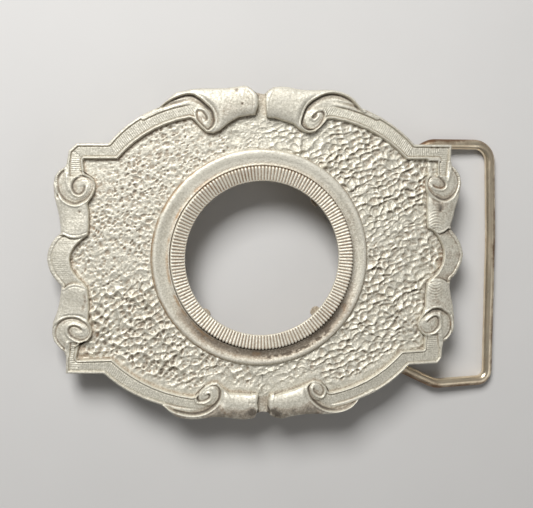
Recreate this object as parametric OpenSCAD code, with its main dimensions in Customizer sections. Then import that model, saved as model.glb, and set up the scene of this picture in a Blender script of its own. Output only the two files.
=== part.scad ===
// Belt buckle blank: a cast scrollwork plate with a round window for a coin or stone,
// a reeded bezel ring, a post for the belt's holes and a swinging wire loop for its fixed end.
// Millimetres. +X runs from the post to the loop, +Z is up and out of the decorated face.
// The buckle lies face up, on the tip of its post, its two hinge ears and the bar of its loop.

/* [Plate] */
// Height of the middle of the field above the surface that the buckle lies on
field_z = 10; // [9.5:0.1:11]
// Thickness of the casting under the field
plate_t = 2; // [1.6:0.1:2.2]
// Radius of the plate's bow, about a line along Y under the window
bow_r = 360; // [340:10:500]
// Height of the border above the field
border_h = 1; // [0.7:0.1:1.3]
// Distance of the left and right lobes from the middle of the window
half_w = 48.2; // [47.8:0.1:48.6]
// Distance of the corners, along Y, from the middle of the window
corner_y = 25.8; // [25.4:0.1:26.2]
// Width of the border strap
strap_w = 3.7; // [3.4:0.1:4]
// Height of the four top and bottom rolls above the field
roll_h = 2.2; // [1.8:0.1:2.6]
// Height of the four side rolls above the field
side_roll_h = 1.9; // [1.6:0.1:2.2]

/* [Window] */
// Radius of the window that shows the coin or stone
window_r = 17.5; // [17:0.1:18]
// Radius of the seat behind the window
seat_r = 19.2; // [19:0.1:19.4]
// Depth of the seat, from the bezel's back to its lip
seat_depth = 2.6; // [2.2:0.1:2.8]
// Outer radius of the bezel ring
bezel_r = 20.9; // [20.7:0.1:21]
// Height of the bezel's back above the surface that the buckle lies on
bezel_z = 7.4; // [7.2:0.1:7.6]
// Reach of the four retaining tabs, from the middle of the window
tab_r = 17.1; // [16.9:0.1:17.3]
// Width of a retaining tab
tab_w = 2.4; // [2:0.2:3]

/* [Loop] */
// Radius of the loop's wire
wire_r = 1.2; // [1.1:0.05:1.2]
// Distance of the hinge from the middle of the window
pivot_x = 28; // [27.5:0.1:28.5]
// Height of the hinge above the surface that the buckle lies on
pivot_z = 3.6; // [3.4:0.1:3.8]
// Running clearance round the wire in the hinge ears, on the radius
wire_play = 0.05; // [0.03:0.01:0.08]
// Distance from the hinge to the loop's bar
bar_reach = 29.4; // [28.8:0.1:30]

/* [Post] */
// Distance of the belt post from the middle of the window
post_x = 38; // [37:0.5:38.5]
// Radius of the belt post
post_r = 2; // [1.8:0.1:2.2]

/* [Hidden] */
$fn = 96;

pewter = [0.78, 0.76, 0.70];
wire_colour = [0.66, 0.60, 0.48];
post_colour = [0.70, 0.66, 0.56];

// Half the length of the tall prisms and long cylinders that cut the casting
far = 60;
// Gap round a piece that is set into the casting
fit_gap = 0.05;

// The four quarters of the border. The cast outline differs a little from one to the next.
QX = 0; QY = 1; CORNER_X = 2; BEND_X = 3;
quarters = [
    // side x, side y, corner x, bend x
    [ 1,  1, 44.4, 35.4],
    [-1,  1, 43.3, 34.2],
    [-1, -1, 44.2, 35.8],
    [ 1, -1, 43.4, 35.0]
];

// The side lobe's outer edge, and the field's edge inside it
lobe_r = 7;
lobe_x = half_w - lobe_r;
lobe_in_r = 5.4;
lobe_in_x = 37.2;

// The crescent at the outer side of each side volute
crescent = [41.5, 16.2];
crescent_r = 5.1;

// The side volute, and the roll between it and the lobe
side_eye = [41.2, 16.2];
side_eye_r = 3;
side_roll_x = 41.7;
side_roll_end = 5.4;
side_roll_half = 3.2;

// The top volute, and the roll between it and the notch at the middle
top_eye = [12.9, 31.5];
top_eye_r = 2.7;
top_roll = [1.3, 34.7];
top_roll_len = 11;
top_roll_half = 3.3;
top_roll_turn = -4;

// The shoulder where the strap passes under the roll, and the outline from there to the notch
shoulder = [22.4, 34.1];
shoulder_points = [[20.8, 36.1], [19, 37.1], [15.6, 37.6], [8.5, 37.8], [3.8, 38], [1.4, 37.5], [0.7, 36.2]];

// How far the strap's two edges stand out from their chords
outer_bow = 0.9;
inner_bow = 1.6;
// The strap's raised rim and the depth of the channel inside it
rim_w = 0.7;
channel_depth = 0.3;
// The strap's straight piece beside a side volute: its inner edge and its end
strap_in_x = 39.6;
strap_end_y = 20.2;
// The strap's inner end, beside the top volute
strap_tip = [15.2, 31];

// The gutter moulding's outer radius, and how deep it is rooted in the plate
moulding_r = 25.2;
moulding_root = 1.5;

// The two hinge ears: width at the top and at the foot, thickness along the hinge, place
ear_w = 7;
ear_foot_w = 5.2;
ear_foot_h = 2.4;
ear_t = 3.4;
ear_y = 14.5;

// The flat pad that the post stands on, and the post's spigot, flange and tip
pad_z = 5.3;
pad_r = 4.2;
spigot_r = 1.4;
spigot_len = 1.5;
flange_r = 3.2;
flange_t = 0.7;
tip_r = 0.8;

// Thickness of a retaining tab, and how far it is rooted in the bezel's wall
tab_t = 0.6;
tab_root = 0.2;
// Width of the bezel's flat rims
bezel_rim = 0.5;

// The loop's corners in its own plane, clockwise. A bend's ends lap a little into the straights.
ALONG = 0; ACROSS = 1; BEND = 2;
loop_corners = [
    // along from the hinge, across, bend radius
    [0, 18.8, 2.2],
    [13.2, 26.1, 5],
    [bar_reach - 0.8, 26, 4.2],
    [bar_reach, 4, 150],
    [bar_reach, -31.8, 2.6],
    [15.6, -32.1, 6],
    [0, -24.4, 2.2]
];
lap = 0.1;
bend_thin = 0.01;

// The loop hangs from its hinge until its bar lies on the surface.
droop = asin((pivot_z - wire_r) / bar_reach);
// The part's middle lies halfway between the left lobe and the loop's bar.
loop_right = pivot_x + bar_reach * cos(droop) + wire_r;
mid_x = (loop_right - half_w) / 2;

// Points along a circle from one angle to another
function arc(c, r, a0, a1, n) = [for (i = [0:n]) let (a = a0 + (a1 - a0) * i / n) c + r * [cos(a), sin(a)]];

// Points of the arc from p to q that stands out by h from its chord, without its two ends
function bow(p, q, h, n) =
    let (d = q - p, across = [d[1], -d[0]] / norm(d))
    [for (i = [1:n - 1]) let (t = i / n) p + d * t + across * (4 * h * t * (1 - t))];

// A list of points in the opposite order
function reversed(points) = [for (i = [len(points) - 1:-1:0]) points[i]];

// Points of the first quarter placed in quarter q, in an order that runs anticlockwise
function placed(q, points) =
    let (turned = [for (p = points) [p[0] * q[QX], p[1] * q[QY]]])
    q[QX] * q[QY] > 0 ? turned : reversed(turned);

// Radius of a roll's circle, from half its width and its height above the field
function roll_radius(half, h) = (half * half + h * h) / (2 * h);

// How far the field has dropped at a distance x from the middle
function drop(x) = bow_r - sqrt(bow_r * bow_r - x * x);

// The outline's quarter, from the side lobe to the notch at the top
function outline_quarter(q) = concat(
    arc([lobe_x, 0], lobe_r, 3, 60, 7),
    [[45.1, 8.4]],
    arc(crescent, crescent_r, -30, 56, 8),
    [[q[CORNER_X] - 0.3, 21], [q[CORNER_X], corner_y], [q[BEND_X], corner_y]],
    bow([q[BEND_X], corner_y], shoulder, outer_bow, 6),
    [shoulder],
    shoulder_points
);

// The field's quarter: inside the lobe, the volutes and the strap, and out through the notch
function field_quarter(q) =
    let (bend = [q[BEND_X] - 2, corner_y - strap_w])
    concat(
        arc([lobe_in_x, 0], lobe_in_r, 3, 62, 5),
        [[38.5, 5.6], [38.6, 12.4], [37.9, 15], [38.4, 18.4], [39.4, 19.2], [strap_in_x, bend[1]], bend],
        bow(bend, strap_tip, inner_bow, 6),
        [strap_tip, [13.2, 28.9], [10.8, 28.6], [6.2, 30.6], [1.2, 31.9], [0.9, 39]]
    );

// The quarter of the shallow channel between the strap's two raised rims
function channel_quarter(q) =
    let (
        in_x = strap_in_x + rim_w,
        out_x = q[CORNER_X] - rim_w,
        outer_bend = [q[BEND_X] - rim_w / 2, corner_y - rim_w],
        inner_bend = [q[BEND_X] - 2 + rim_w / 2, corner_y - strap_w + rim_w],
        outer_tip = shoulder - [1, 0.2],
        inner_tip = strap_tip + [1, 1]
    )
    concat(
        [[in_x, strap_end_y], [out_x, strap_end_y], [out_x, outer_bend[1]], outer_bend],
        bow(outer_bend, outer_tip, outer_bow, 6),
        [outer_tip, inner_tip],
        reversed(bow(inner_bend, inner_tip, inner_bow, 6)),
        [inner_bend, [in_x, inner_bend[1]]]
    );

// A prism over the given points, tall enough to pass through the whole plate
module prism(points) {
    translate([0, 0, -far]) linear_extrude(2 * far) polygon(points);
}

// The bowed solid below a surface that lies h above the field
module below(h) {
    translate([0, 0, field_z - bow_r]) rotate([90, 0, 0])
        cylinder(r = bow_r + h, h = 4 * far, center = true, $fn = 360);
}

// What is drawn for the first quarter, mirrored into quarter q
module in_quarter(q) {
    mirror([q[QX] < 0 ? 1 : 0, 0, 0]) mirror([0, q[QY] < 0 ? 1 : 0, 0]) children();
}

// The casting's body: the bowed outline with the field and the strap's channels sunk into it
module body() {
    difference() {
        intersection() {
            prism([for (q = quarters) each placed(q, outline_quarter(q))]);
            below(border_h);
        }
        below(-plate_t);
        difference() {
            prism([for (q = quarters) each placed(q, field_quarter(q))]);
            below(0);
        }
        for (q = quarters) difference() {
            prism(placed(q, channel_quarter(q)));
            below(border_h - channel_depth);
        }
    }
}

// A roll beside a top or bottom volute, cut off inside the plate
module top_roll_solid(q) {
    r = roll_radius(top_roll_half, roll_h);
    difference() {
        in_quarter(q) translate([top_roll[0], top_roll[1], field_z + roll_h - r])
            rotate([0, 0, top_roll_turn]) rotate([0, 90, 0]) cylinder(r = r, h = top_roll_len);
        below(-plate_t / 2);
    }
}

// A roll beside a side volute, cut off inside the plate
module side_roll_solid(q) {
    r = roll_radius(side_roll_half, side_roll_h);
    difference() {
        in_quarter(q) translate([side_roll_x, side_roll_end, field_z - drop(side_roll_x) + side_roll_h - r])
            rotate([-90, 0, 0]) cylinder(r = r, h = side_eye[1] - side_roll_end - 1);
        below(-plate_t / 2);
    }
}

// A volute that stands h above the field: a round boss with a groove round its eye
module volute(q, eye, r, h) {
    groove_rim = 0.6;
    groove_depth = 0.4;
    top = field_z - drop(eye[0]) + h;
    in_quarter(q) translate([eye[0], eye[1], 0]) difference() {
        translate([0, 0, top - h - 1]) cylinder(r = r, h = h + 1);
        translate([0, 0, top - groove_depth]) difference() {
            cylinder(r = r - groove_rim, h = 2);
            translate([0, 0, -1]) cylinder(r = r / 2.6, h = 3);
        }
    }
}

// The smooth gutter moulding round the window, with its crest outside and its hollow inside
module moulding() {
    rotate_extrude() translate([0, field_z]) polygon([
        [bezel_r - 1, -moulding_root], [moulding_r, -moulding_root], [moulding_r, -0.2],
        [moulding_r - 0.9, 0.8], [moulding_r - 1.5, 0.8], [moulding_r - 2.1, 0.4], [moulding_r - 2.8, 0.2],
        [bezel_r + 0.8, 0.4], [bezel_r + 0.4, 0.7], [bezel_r - 1, 0.7]
    ]);
}

// A hinge ear with a flat foot and the cross bore for the loop's wire
module ear(side) {
    top = field_z - plate_t;
    translate([pivot_x, side * ear_y, 0]) difference() {
        rotate([90, 0, 0]) linear_extrude(ear_t, center = true) polygon([
            [-ear_foot_w / 2, 0], [ear_foot_w / 2, 0], [ear_w / 2, ear_foot_h],
            [ear_w / 2, top], [-ear_w / 2, top], [-ear_w / 2, ear_foot_h]
        ]);
        translate([0, 0, pivot_z]) rotate([90, 0, 0])
            cylinder(r = wire_r + wire_play, h = 3 * ear_t, center = true);
    }
}

// The flat pad behind the plate that the post stands on
module pad() {
    translate([-post_x, 0, pad_z]) cylinder(r = pad_r, h = field_z - drop(post_x) - plate_t / 2 - pad_z);
}

// The cast plate: face, border, moulding, ears and pad in one piece
module plate() {
    color(pewter) translate([-mid_x, 0, 0]) difference() {
        union() {
            body();
            moulding();
            for (q = quarters) {
                top_roll_solid(q);
                side_roll_solid(q);
                volute(q, top_eye, top_eye_r, roll_h - 0.4);
                volute(q, side_eye, side_eye_r, side_roll_h);
            }
            ear(1);
            ear(-1);
            pad();
        }
        translate([0, 0, field_z - 5]) cylinder(r = bezel_r + fit_gap, h = 10);
        translate([-post_x, 0, pad_z - 1]) cylinder(r = spigot_r + fit_gap, h = spigot_len + fit_gap + 1);
    }
}

// A tab bent over behind the seat to hold the coin or stone
module tab(angle) {
    middle = tab_r + tab_w / 2;
    height = tab_t + tab_root;
    rotate([0, 0, angle]) translate([middle, 0, bezel_z - tab_t]) {
        cylinder(r = tab_w / 2, h = height);
        translate([0, -tab_w / 2, 0]) cube([bezel_r - 0.8 - middle, tab_w, height]);
    }
}

// The bezel ring: a band between two rims, a lip round the window, the seat behind it and its tabs
module coin_bezel() {
    top = field_z + 1.3;
    lip = bezel_z + seat_depth;
    color(pewter) translate([-mid_x, 0, 0]) union() {
        rotate_extrude() polygon([
            [seat_r, bezel_z], [bezel_r, bezel_z], [bezel_r, top - 0.1], [bezel_r - 0.1, top],
            [bezel_r - bezel_rim, top], [bezel_r - bezel_rim - 0.1, top - 0.2],
            [window_r + bezel_rim + 0.1, top - 0.5], [window_r + bezel_rim, top - 0.3],
            [window_r + 0.1, top - 0.3], [window_r, top - 0.4], [window_r, lip], [seat_r, lip]
        ]);
        for (a = [45:90:315]) tab(a);
    }
}

// The post: a flange on the pad, a spigot in the pad's hole and a straight shank with a rounded tip
module belt_post() {
    flange_z = pad_z - flange_t;
    spigot_z = pad_z + spigot_len;
    color(post_colour) translate([-mid_x - post_x, 0, 0]) rotate_extrude() polygon(concat(
        [[0, 0]],
        arc([post_r - tip_r, tip_r], tip_r, -90, 0, 5),
        [[post_r, flange_z], [flange_r, flange_z], [flange_r, pad_z], [spigot_r, pad_z],
         [spigot_r, spigot_z], [0, spigot_z]]
    ));
}

// The loop's corner i, its heading to the next corner, its turn and the length its bend takes
corners = len(loop_corners);
function corner(i) = loop_corners[(i + corners) % corners];
function corner_at(i) = [corner(i)[ALONG], corner(i)[ACROSS]];
function heading(i) = let (d = corner_at(i + 1) - corner_at(i)) atan2(d[1], d[0]);
function turn(i) = let (t = heading(i - 1) - heading(i)) t < 0 ? t + 360 : t;
function tangent(i) = corner(i)[BEND] * tan(turn(i) / 2);

// The straight wire from one corner's bend to the next
module straight(i) {
    length = norm(corner_at(i + 1) - corner_at(i)) - tangent(i) - tangent(i + 1);
    translate([corner_at(i)[0], corner_at(i)[1], 0]) rotate([0, 0, heading(i)])
        translate([tangent(i), 0, 0]) rotate([0, 90, 0]) cylinder(r = wire_r, h = length);
}

// The bend at a corner, a hair thinner than the straights that its two ends lie in
module bend(i) {
    lap_angle = lap / corner(i)[BEND] * 180 / PI;
    translate([corner_at(i)[0], corner_at(i)[1], 0]) rotate([0, 0, heading(i - 1)])
        translate([-tangent(i), -corner(i)[BEND], 0]) rotate([0, 0, 90 - turn(i) - lap_angle])
            rotate_extrude(angle = turn(i) + 2 * lap_angle)
                translate([corner(i)[BEND], 0]) circle(r = wire_r - bend_thin);
}

// The closed wire loop, hanging from the ears with its bar on the surface
module belt_loop() {
    color(wire_colour) translate([pivot_x - mid_x, 0, pivot_z]) rotate([0, droop, 0]) union() {
        for (i = [0:corners - 1]) {
            straight(i);
            bend(i);
        }
    }
}

plate();
coin_bezel();
belt_post();
belt_loop();
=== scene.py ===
"""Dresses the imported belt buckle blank: a cast scrollwork plate with a hammered field, a reeded coin
ring, a belt post and a swinging wire loop.

Sizes in the classes are millimetres on the plate: X along the belt, Y across it, Z up from the top of
the field in the middle of the window. Datum.place turns them into metres in the shared frame.
"""
import logging
import math
from dataclasses import dataclass, field
from enum import Enum
from typing import Any

import bpy
import numpy as np
from mathutils import Matrix, Vector


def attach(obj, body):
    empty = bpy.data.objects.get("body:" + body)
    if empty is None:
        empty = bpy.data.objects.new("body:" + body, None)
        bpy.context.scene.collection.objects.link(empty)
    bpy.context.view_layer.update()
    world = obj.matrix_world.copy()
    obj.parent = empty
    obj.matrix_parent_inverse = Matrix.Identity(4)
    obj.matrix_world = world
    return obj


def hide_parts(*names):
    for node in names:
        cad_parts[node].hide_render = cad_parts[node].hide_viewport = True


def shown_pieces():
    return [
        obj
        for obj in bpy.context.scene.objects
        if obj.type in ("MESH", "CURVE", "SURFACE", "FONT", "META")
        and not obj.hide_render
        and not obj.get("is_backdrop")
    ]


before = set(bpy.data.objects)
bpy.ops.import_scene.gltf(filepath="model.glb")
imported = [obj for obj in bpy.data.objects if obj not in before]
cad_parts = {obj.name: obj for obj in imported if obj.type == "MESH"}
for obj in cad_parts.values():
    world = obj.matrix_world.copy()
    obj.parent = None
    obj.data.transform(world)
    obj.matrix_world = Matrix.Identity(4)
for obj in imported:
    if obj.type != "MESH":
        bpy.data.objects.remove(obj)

LOG = logging.getLogger("buckle")
Array = np.ndarray
Pair = tuple[float, float]
Table = tuple[Pair, ...]
Colour = tuple[float, float, float, float]
Look = bpy.types.Material
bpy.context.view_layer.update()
MM = 0.001


@dataclass(frozen=True)
class Datum:
    """Where the plate's own millimetres lie in the shared frame."""

    mid_x: float = 5.151
    field_z: float = 10.0
    bow_r: float = 360.0

    def sag(self, x: Array) -> Array:
        """How far the bowed face has dropped at x: x squared over twice the bow's radius."""
        return x * x / (2.0 * self.bow_r)

    def drape(self, xy: Array, height: Array) -> Array:
        """Points at a height above the bowed face.

        Args:
            xy: plate X and Y in the last axis.
            height: height above the bowed face, of the same leading shape.

        Returns:
            X, Y and Z in the last axis.
        """
        return np.stack([xy[..., 0], xy[..., 1], height - self.sag(xy[..., 0])], axis=-1)

    def place(self, points: Array) -> Array:
        """Plate millimetres to frame metres."""
        return (points + np.array([-self.mid_x, 0.0, self.field_z])) * MM


DATUM = Datum()
# Y of the bend in the border's inner and outer edges, and the step between a drawn line's points.
CORNER_IN = 22.1
CORNER_OUT = 25.8
LINE_STEP = 0.03


def tenths(*numbers: int) -> Table:
    """Points of a drawn line, from x and y in turn in tenths of a millimetre."""
    return tuple((x / 10.0, y / 10.0) for x, y in zip(numbers[::2], numbers[1::2]))


def held(value: Array) -> Array:
    """The value kept between 0 and 1."""
    return np.clip(value, 0.0, 1.0)


def ease(value: Array, low: float = 0.0, high: float = 1.0) -> Array:
    """Smooth step from 0 at low to 1 at high: t squared times (3 - 2 t)."""
    t = held((value - low) / (high - low))
    return t * t * (3.0 - 2.0 * t)


def bell(value: Array, width: float) -> Array:
    """Bell curve of height 1: exp(-(value / width) squared)."""
    return np.exp(-((value / width) ** 2))


def blend(first: Array, second: Array, share: Array) -> Array:
    """The first value where share is 0 and the second where it is 1."""
    return first + (second - first) * share


def rounded(part: Array) -> Array:
    """How far a quarter circle has fallen at a part of its radius: 1 - root of (1 - part squared)."""
    return 1.0 - np.sqrt(1.0 - part * part)


def arched(share: Array, power: float = 2.8) -> Array:
    """A flat-topped arch over a share s from 0 to 1: the root of 1 - |2 s - 1| to the power."""
    return np.sqrt(1.0 - np.abs(2.0 * share - 1.0) ** power)


def polar(radius: Array | float, angle: Array) -> Array:
    """X and Y of points at a radius and an angle."""
    return np.stack([radius * np.cos(angle), radius * np.sin(angle)], axis=-1)


def lengths(line: Array) -> Array:
    """Length along a bent line up to each of its points."""
    return np.concatenate([[0.0], np.cumsum(np.hypot(*np.diff(line, axis=0).T))])


def densify(points: Table | Array, step: float) -> Array:
    """The same bent line with a point at every step of its length.

    Args:
        points: corners of the line.
        step: distance between the new points.

    Returns:
        Points spaced evenly by length, ends kept.
    """
    corners = np.asarray(points, dtype=float)
    reach = lengths(corners)
    marks = np.linspace(0.0, reach[-1], max(2, int(reach[-1] / step)))
    return np.stack([np.interp(marks, reach, corners[:, k]) for k in (0, 1)], axis=-1)


def fair(points: Table | Array, step: float = 0.25) -> Array:
    """A smooth curve through the points (Catmull-Rom), spaced evenly.

    Each span uses its two ends a, b and their neighbours p, q:
    0.5 (2a + (b - p) t + (2p - 5a + 4b - q) t^2 + (3a - p - 3b + q) t^3).

    Args:
        points: the points that the curve goes through.
        step: distance between the points of the result.

    Returns:
        Points along the curve.
    """
    base = np.asarray(points, dtype=float)
    ring = np.vstack([2 * base[0] - base[1], base, 2 * base[-1] - base[-2]])
    t = np.linspace(0.0, 1.0, 9)[:-1][None, :, None]
    p, a, b, q = (ring[k : len(ring) - 3 + k, None, :] for k in range(4))
    bent = (2 * p - 5 * a + 4 * b - q) * t**2
    spans = 0.5 * (2 * a + (b - p) * t + bent + (3 * a - p - 3 * b + q) * t**3)
    return densify(np.vstack([spans.reshape(-1, 2), base[-1:]]), step)


def bow(start: Pair, end: Pair, rise: float, count: int = 7) -> Table:
    """A shallow arch: start + d t + across 4 rise t (1 - t).

    Args:
        start: first end.
        end: last end.
        rise: height of the arch in its middle, to the right of the way from start to end.
        count: number of spans.

    Returns:
        Both ends and the points between them.
    """
    a, b = np.array(start), np.array(end)
    way = b - a
    across = np.array([way[1], -way[0]]) / np.hypot(*way)
    t = np.linspace(0.0, 1.0, count + 1)[:, None]
    return tuple(tuple(p) for p in a + way * t + across * rise * 4.0 * t * (1.0 - t))


@dataclass(frozen=True)
class Near:
    """How points lie to a line: distance, length along it, and distance with a sign, plus on its left."""

    distance: Array
    along: Array
    signed: Array


def measure(xy: Array, line: Array) -> Near:
    """Finds the nearest place on a bent line for every point, one segment at a time.

    Args:
        xy: points, X and Y in the last axis.
        line: corners of the line.

    Returns:
        The distances, the lengths along the line and the signed distances.
    """
    best = np.full(xy.shape[:-1], 1e9)
    along = np.zeros_like(best)
    signed = np.zeros_like(best)
    done = 0.0
    for a, b in zip(line[:-1], line[1:]):
        way = b - a
        length = float(np.hypot(*way))
        way = way / length
        dx, dy = xy[..., 0] - a[0], xy[..., 1] - a[1]
        t = np.clip(dx * way[0] + dy * way[1], 0.0, length)
        gap = np.hypot(dx - t * way[0], dy - t * way[1])
        nearer = gap < best
        best = np.where(nearer, gap, best)
        along = np.where(nearer, done + t, along)
        signed = np.where(nearer, np.sign(way[0] * dy - way[1] * dx) * gap, signed)
        done += length
    return Near(best, along, signed)


@dataclass(frozen=True)
class Grain:
    """Repeatable random values for cast unevenness."""

    seed: int

    def values(self, cell: Array, layer: int = 0) -> Array:
        """A random number from 0 to 1 for every whole-numbered cell, the same on each call."""
        table = np.random.default_rng(self.seed * 31 + layer).random((128, 128))
        return table[cell[..., 0] % 128, cell[..., 1] % 128]

    def waves(self, xy: Array, pitch: float) -> Array:
        """Smooth unevenness from -1 to 1: random corner values of square cells, blended with eased shares.

        Args:
            xy: points.
            pitch: size of a cell.

        Returns:
            One value for each point.
        """
        cell = np.floor(xy / pitch).astype(np.int64)
        part = xy / pitch - cell
        share = part * part * (3.0 - 2.0 * part)
        rows = [self.values(cell + np.array([dx, dy])) for dx, dy in ((0, 0), (1, 0), (0, 1), (1, 1))]
        low = blend(rows[0], rows[1], share[..., 0])
        high = blend(rows[2], rows[3], share[..., 0])
        return 2.0 * blend(low, high, share[..., 1]) - 1.0


def uneven(xy: Array, *layers: tuple[float, int, float]) -> Array:
    """A sum of waves, each of them given as its amount, seed and pitch."""
    return sum(amount * Grain(seed).waves(xy, pitch) for amount, seed, pitch in layers)


def sway(xy: Array, seeds: tuple[int, int], pitch: float) -> Array:
    """Sideways unevenness: a smooth random value from -1 to 1 for X and another for Y."""
    return np.stack([Grain(seed).waves(xy, pitch) for seed in seeds], axis=-1)


@dataclass(frozen=True)
class Dents:
    """A hammered pattern on a jittered lattice, as touching hollows or as separate pits.

    A hollow is steeper on its upper side than on its lower side, and its upper side is arched. Turn is
    in degrees, length and width are a cell's sizes, and jitter and spin spread places and directions.
    """

    turn: float
    length: float
    width: float
    gentle: float
    seed: int
    steep: float = 1.0
    arch: float = 0.0
    jitter: float = 0.75
    spin: float = 1.1
    lift: float = 0.22
    sizes: tuple[float, float] = (0.75, 0.7)
    pit_sizes: tuple[float, float] = (0.06, 0.20)
    pit_depths: tuple[float, float] = (0.25, 0.75)
    pit_power: float = 0.7

    def _offsets(self, xy: Array) -> list[tuple[Array, Array, Array, Array]]:
        """Every point's offsets from the nine hollows round it.

        Args:
            xy: points.

        Returns:
            For each hollow its offset ahead and across in cells, and two random values from 0 to 1.
        """
        grain = Grain(self.seed)
        angle = math.radians(self.turn)
        ahead = np.array([math.cos(angle), math.sin(angle)])
        across = np.array([-math.sin(angle), math.cos(angle)])
        place = np.stack([xy @ ahead / self.length, xy @ across / self.width], axis=-1)
        found = []
        for step in np.ndindex(3, 3):
            key = np.floor(place).astype(np.int64) + np.array(step) - 1
            jump = np.stack([grain.values(key, 1), grain.values(key, 2)], axis=-1) - 0.5
            offset = place - (key + 0.5 + self.jitter * jump)
            spin = (grain.values(key, 3) - 0.5) * self.spin
            u = offset[..., 0] * np.cos(spin) + offset[..., 1] * np.sin(spin)
            v = offset[..., 1] * np.cos(spin) - offset[..., 0] * np.sin(spin)
            found.append((u, v, grain.values(key, 4), grain.values(key, 5)))
        return found

    def height(self, xy: Array) -> Array:
        """Hollow bottoms near 0 and the ridges between them near 0.6.

        A hollow's value is ahead squared plus steep or gentle times across squared, divided by its
        size, plus a small random lift. The result is the least of the nine.

        Args:
            xy: points.

        Returns:
            One height for each point, without a unit.
        """
        values = []
        for u, v, first, second in self._offsets(xy):
            bent = v + self.arch * u * u
            wall = np.where(bent > 0.0, self.steep, self.gentle) * bent * bent
            values.append((u * u + wall) / (self.sizes[0] + self.sizes[1] * first) + self.lift * second)
        return np.min(values, axis=0)

    def pits(self, xy: Array) -> Array:
        """Separate round pits, 1 deep in the middle of the deepest and 0 between them.

        A pit's value is its depth times a bowl, 1 minus its offset squared over its size, to a power.

        Args:
            xy: points.

        Returns:
            One depth for each point, without a unit.
        """
        values = []
        for u, v, first, second in self._offsets(xy):
            size = self.pit_sizes[0] + self.pit_sizes[1] * first
            bowl = np.maximum(0.0, 1.0 - (u * u * self.gentle + v * v) / size)
            values.append((self.pit_depths[0] + self.pit_depths[1] * second) * bowl ** self.pit_power)
        return np.max(values, axis=0)


@dataclass
class Shell:
    """Points and faces of a closed piece, in plate millimetres."""

    points: Array
    quads: Array
    tris: Array = field(default_factory=lambda: np.zeros((0, 3), dtype=np.int64))
    marks: dict[str, Array] = field(default_factory=dict)


def ring_shell(grid: Array, marks: dict[str, Array], loop: bool = True, ends: Pair = (0.5, 0.5)) -> Shell:
    """Joins a grid into a closed shell: each column of it is a closed ring of points.

    Args:
        grid: points, rows round the ring by columns along the way.
        marks: one value for each point, by name.
        loop: True where the last column joins the first. Otherwise both ends get a fan of triangles.
        ends: every mark's values at the hubs of the two fans.

    Returns:
        The closed shell.
    """
    rows, cols = grid.shape[:2]
    index = np.arange(rows * cols).reshape(rows, cols)
    below = np.roll(index, -1, axis=0)
    quads = np.stack([index, below, np.roll(below, -1, axis=1), np.roll(index, -1, axis=1)], axis=-1)
    points = grid.reshape(-1, 3)
    flat = {name: value.reshape(-1) for name, value in marks.items()}
    if loop:
        return Shell(points, quads.reshape(-1, 4), marks=flat)
    hubs = np.stack([grid[:, 0].mean(axis=0), grid[:, -1].mean(axis=0)])
    first = np.stack([below[:, 0], index[:, 0], np.full(rows, rows * cols)], axis=-1)
    last = np.stack([index[:, -1], below[:, -1], np.full(rows, rows * cols + 1)], axis=-1)
    flat = {name: np.concatenate([value, ends]) for name, value in flat.items()}
    return Shell(np.vstack([points, hubs]), quads[:, :-1].reshape(-1, 4), np.vstack([first, last]), flat)


def join_shells(shells: list[Shell]) -> Shell:
    """Puts several closed shells into one.

    Args:
        shells: the shells, all with the same marks.

    Returns:
        One shell with the points, faces and marks of all.
    """
    starts = np.cumsum([0] + [len(s.points) for s in shells[:-1]])
    names = shells[0].marks
    return Shell(
        np.vstack([s.points for s in shells]),
        np.vstack([s.quads + k for s, k in zip(shells, starts)]),
        np.vstack([s.tris + k for s, k in zip(shells, starts)]),
        {name: np.concatenate([s.marks[name] for s in shells]) for name in names},
    )


def turned(profile: Table | Array, count: int, centre: Pair = (0.0, 0.0)) -> Array:
    """Turns a closed profile of radius and height round an upright axis.

    Args:
        profile: radius and height of each point, clockwise as seen with the radius to the right.
        count: number of places round the axis.
        centre: the axis in plate X and Y.

    Returns:
        Points, one row for each profile point and one column for each place.
    """
    shape = np.asarray(profile, dtype=float)
    spots = polar(shape[:, :1], np.arange(count) * math.tau / count) + np.array(centre)
    return np.dstack([spots, np.repeat(shape[:, 1:], count, axis=1)])


def softened(grid: Array, reach: int) -> Array:
    """Box average over a grid, done twice down and twice across, with the edges held.

    Args:
        grid: values.
        reach: cells to each side.

    Returns:
        The averaged values.
    """
    size = 2 * reach + 1
    for _ in range(4):
        total = np.cumsum(np.pad(grid, ((reach + 1, reach), (0, 0)), mode="edge"), axis=0)
        grid = ((total[size:] - total[:-size]) / size).T
    return grid


def padded(values: Array, rows: int, rest: float) -> Array:
    """A grid of values made up to a number of rows with one more value."""
    return np.vstack([values, np.full((rows - len(values), values.shape[1]), rest)])


def crossing(points: Table | Array, at: Array, upright: bool = False) -> Array:
    """Y of a drawn line at some X, or X of an upright one at some Y, held beyond both ends."""
    line = np.array(sorted(tuple(point)[:: -1 if upright else 1] for point in points))
    return np.interp(at, line[:, 0], line[:, 1])


def slab(xy: Array, height: Array, levels: tuple[float, ...]) -> Array:
    """Rows of a dressed slab: its relief, the wall down its outer edge and its flat back.

    Args:
        xy: the relief's points, in rows from the inner edge to the outer one.
        height: their heights above the bowed face.
        levels: heights of the rows down the wall, the back's last.

    Returns:
        Points, one ring of them in each column.
    """
    parts = [(xy[-1:], level) for level in levels]
    parts += [(part, levels[-1]) for part in (0.5 * (xy[:1] + xy[-1:]), xy[:1])]
    walls = [DATUM.drape(part, np.full(part.shape[:2], level)) for part, level in parts]
    return np.concatenate([DATUM.drape(xy, height)] + walls)


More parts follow.
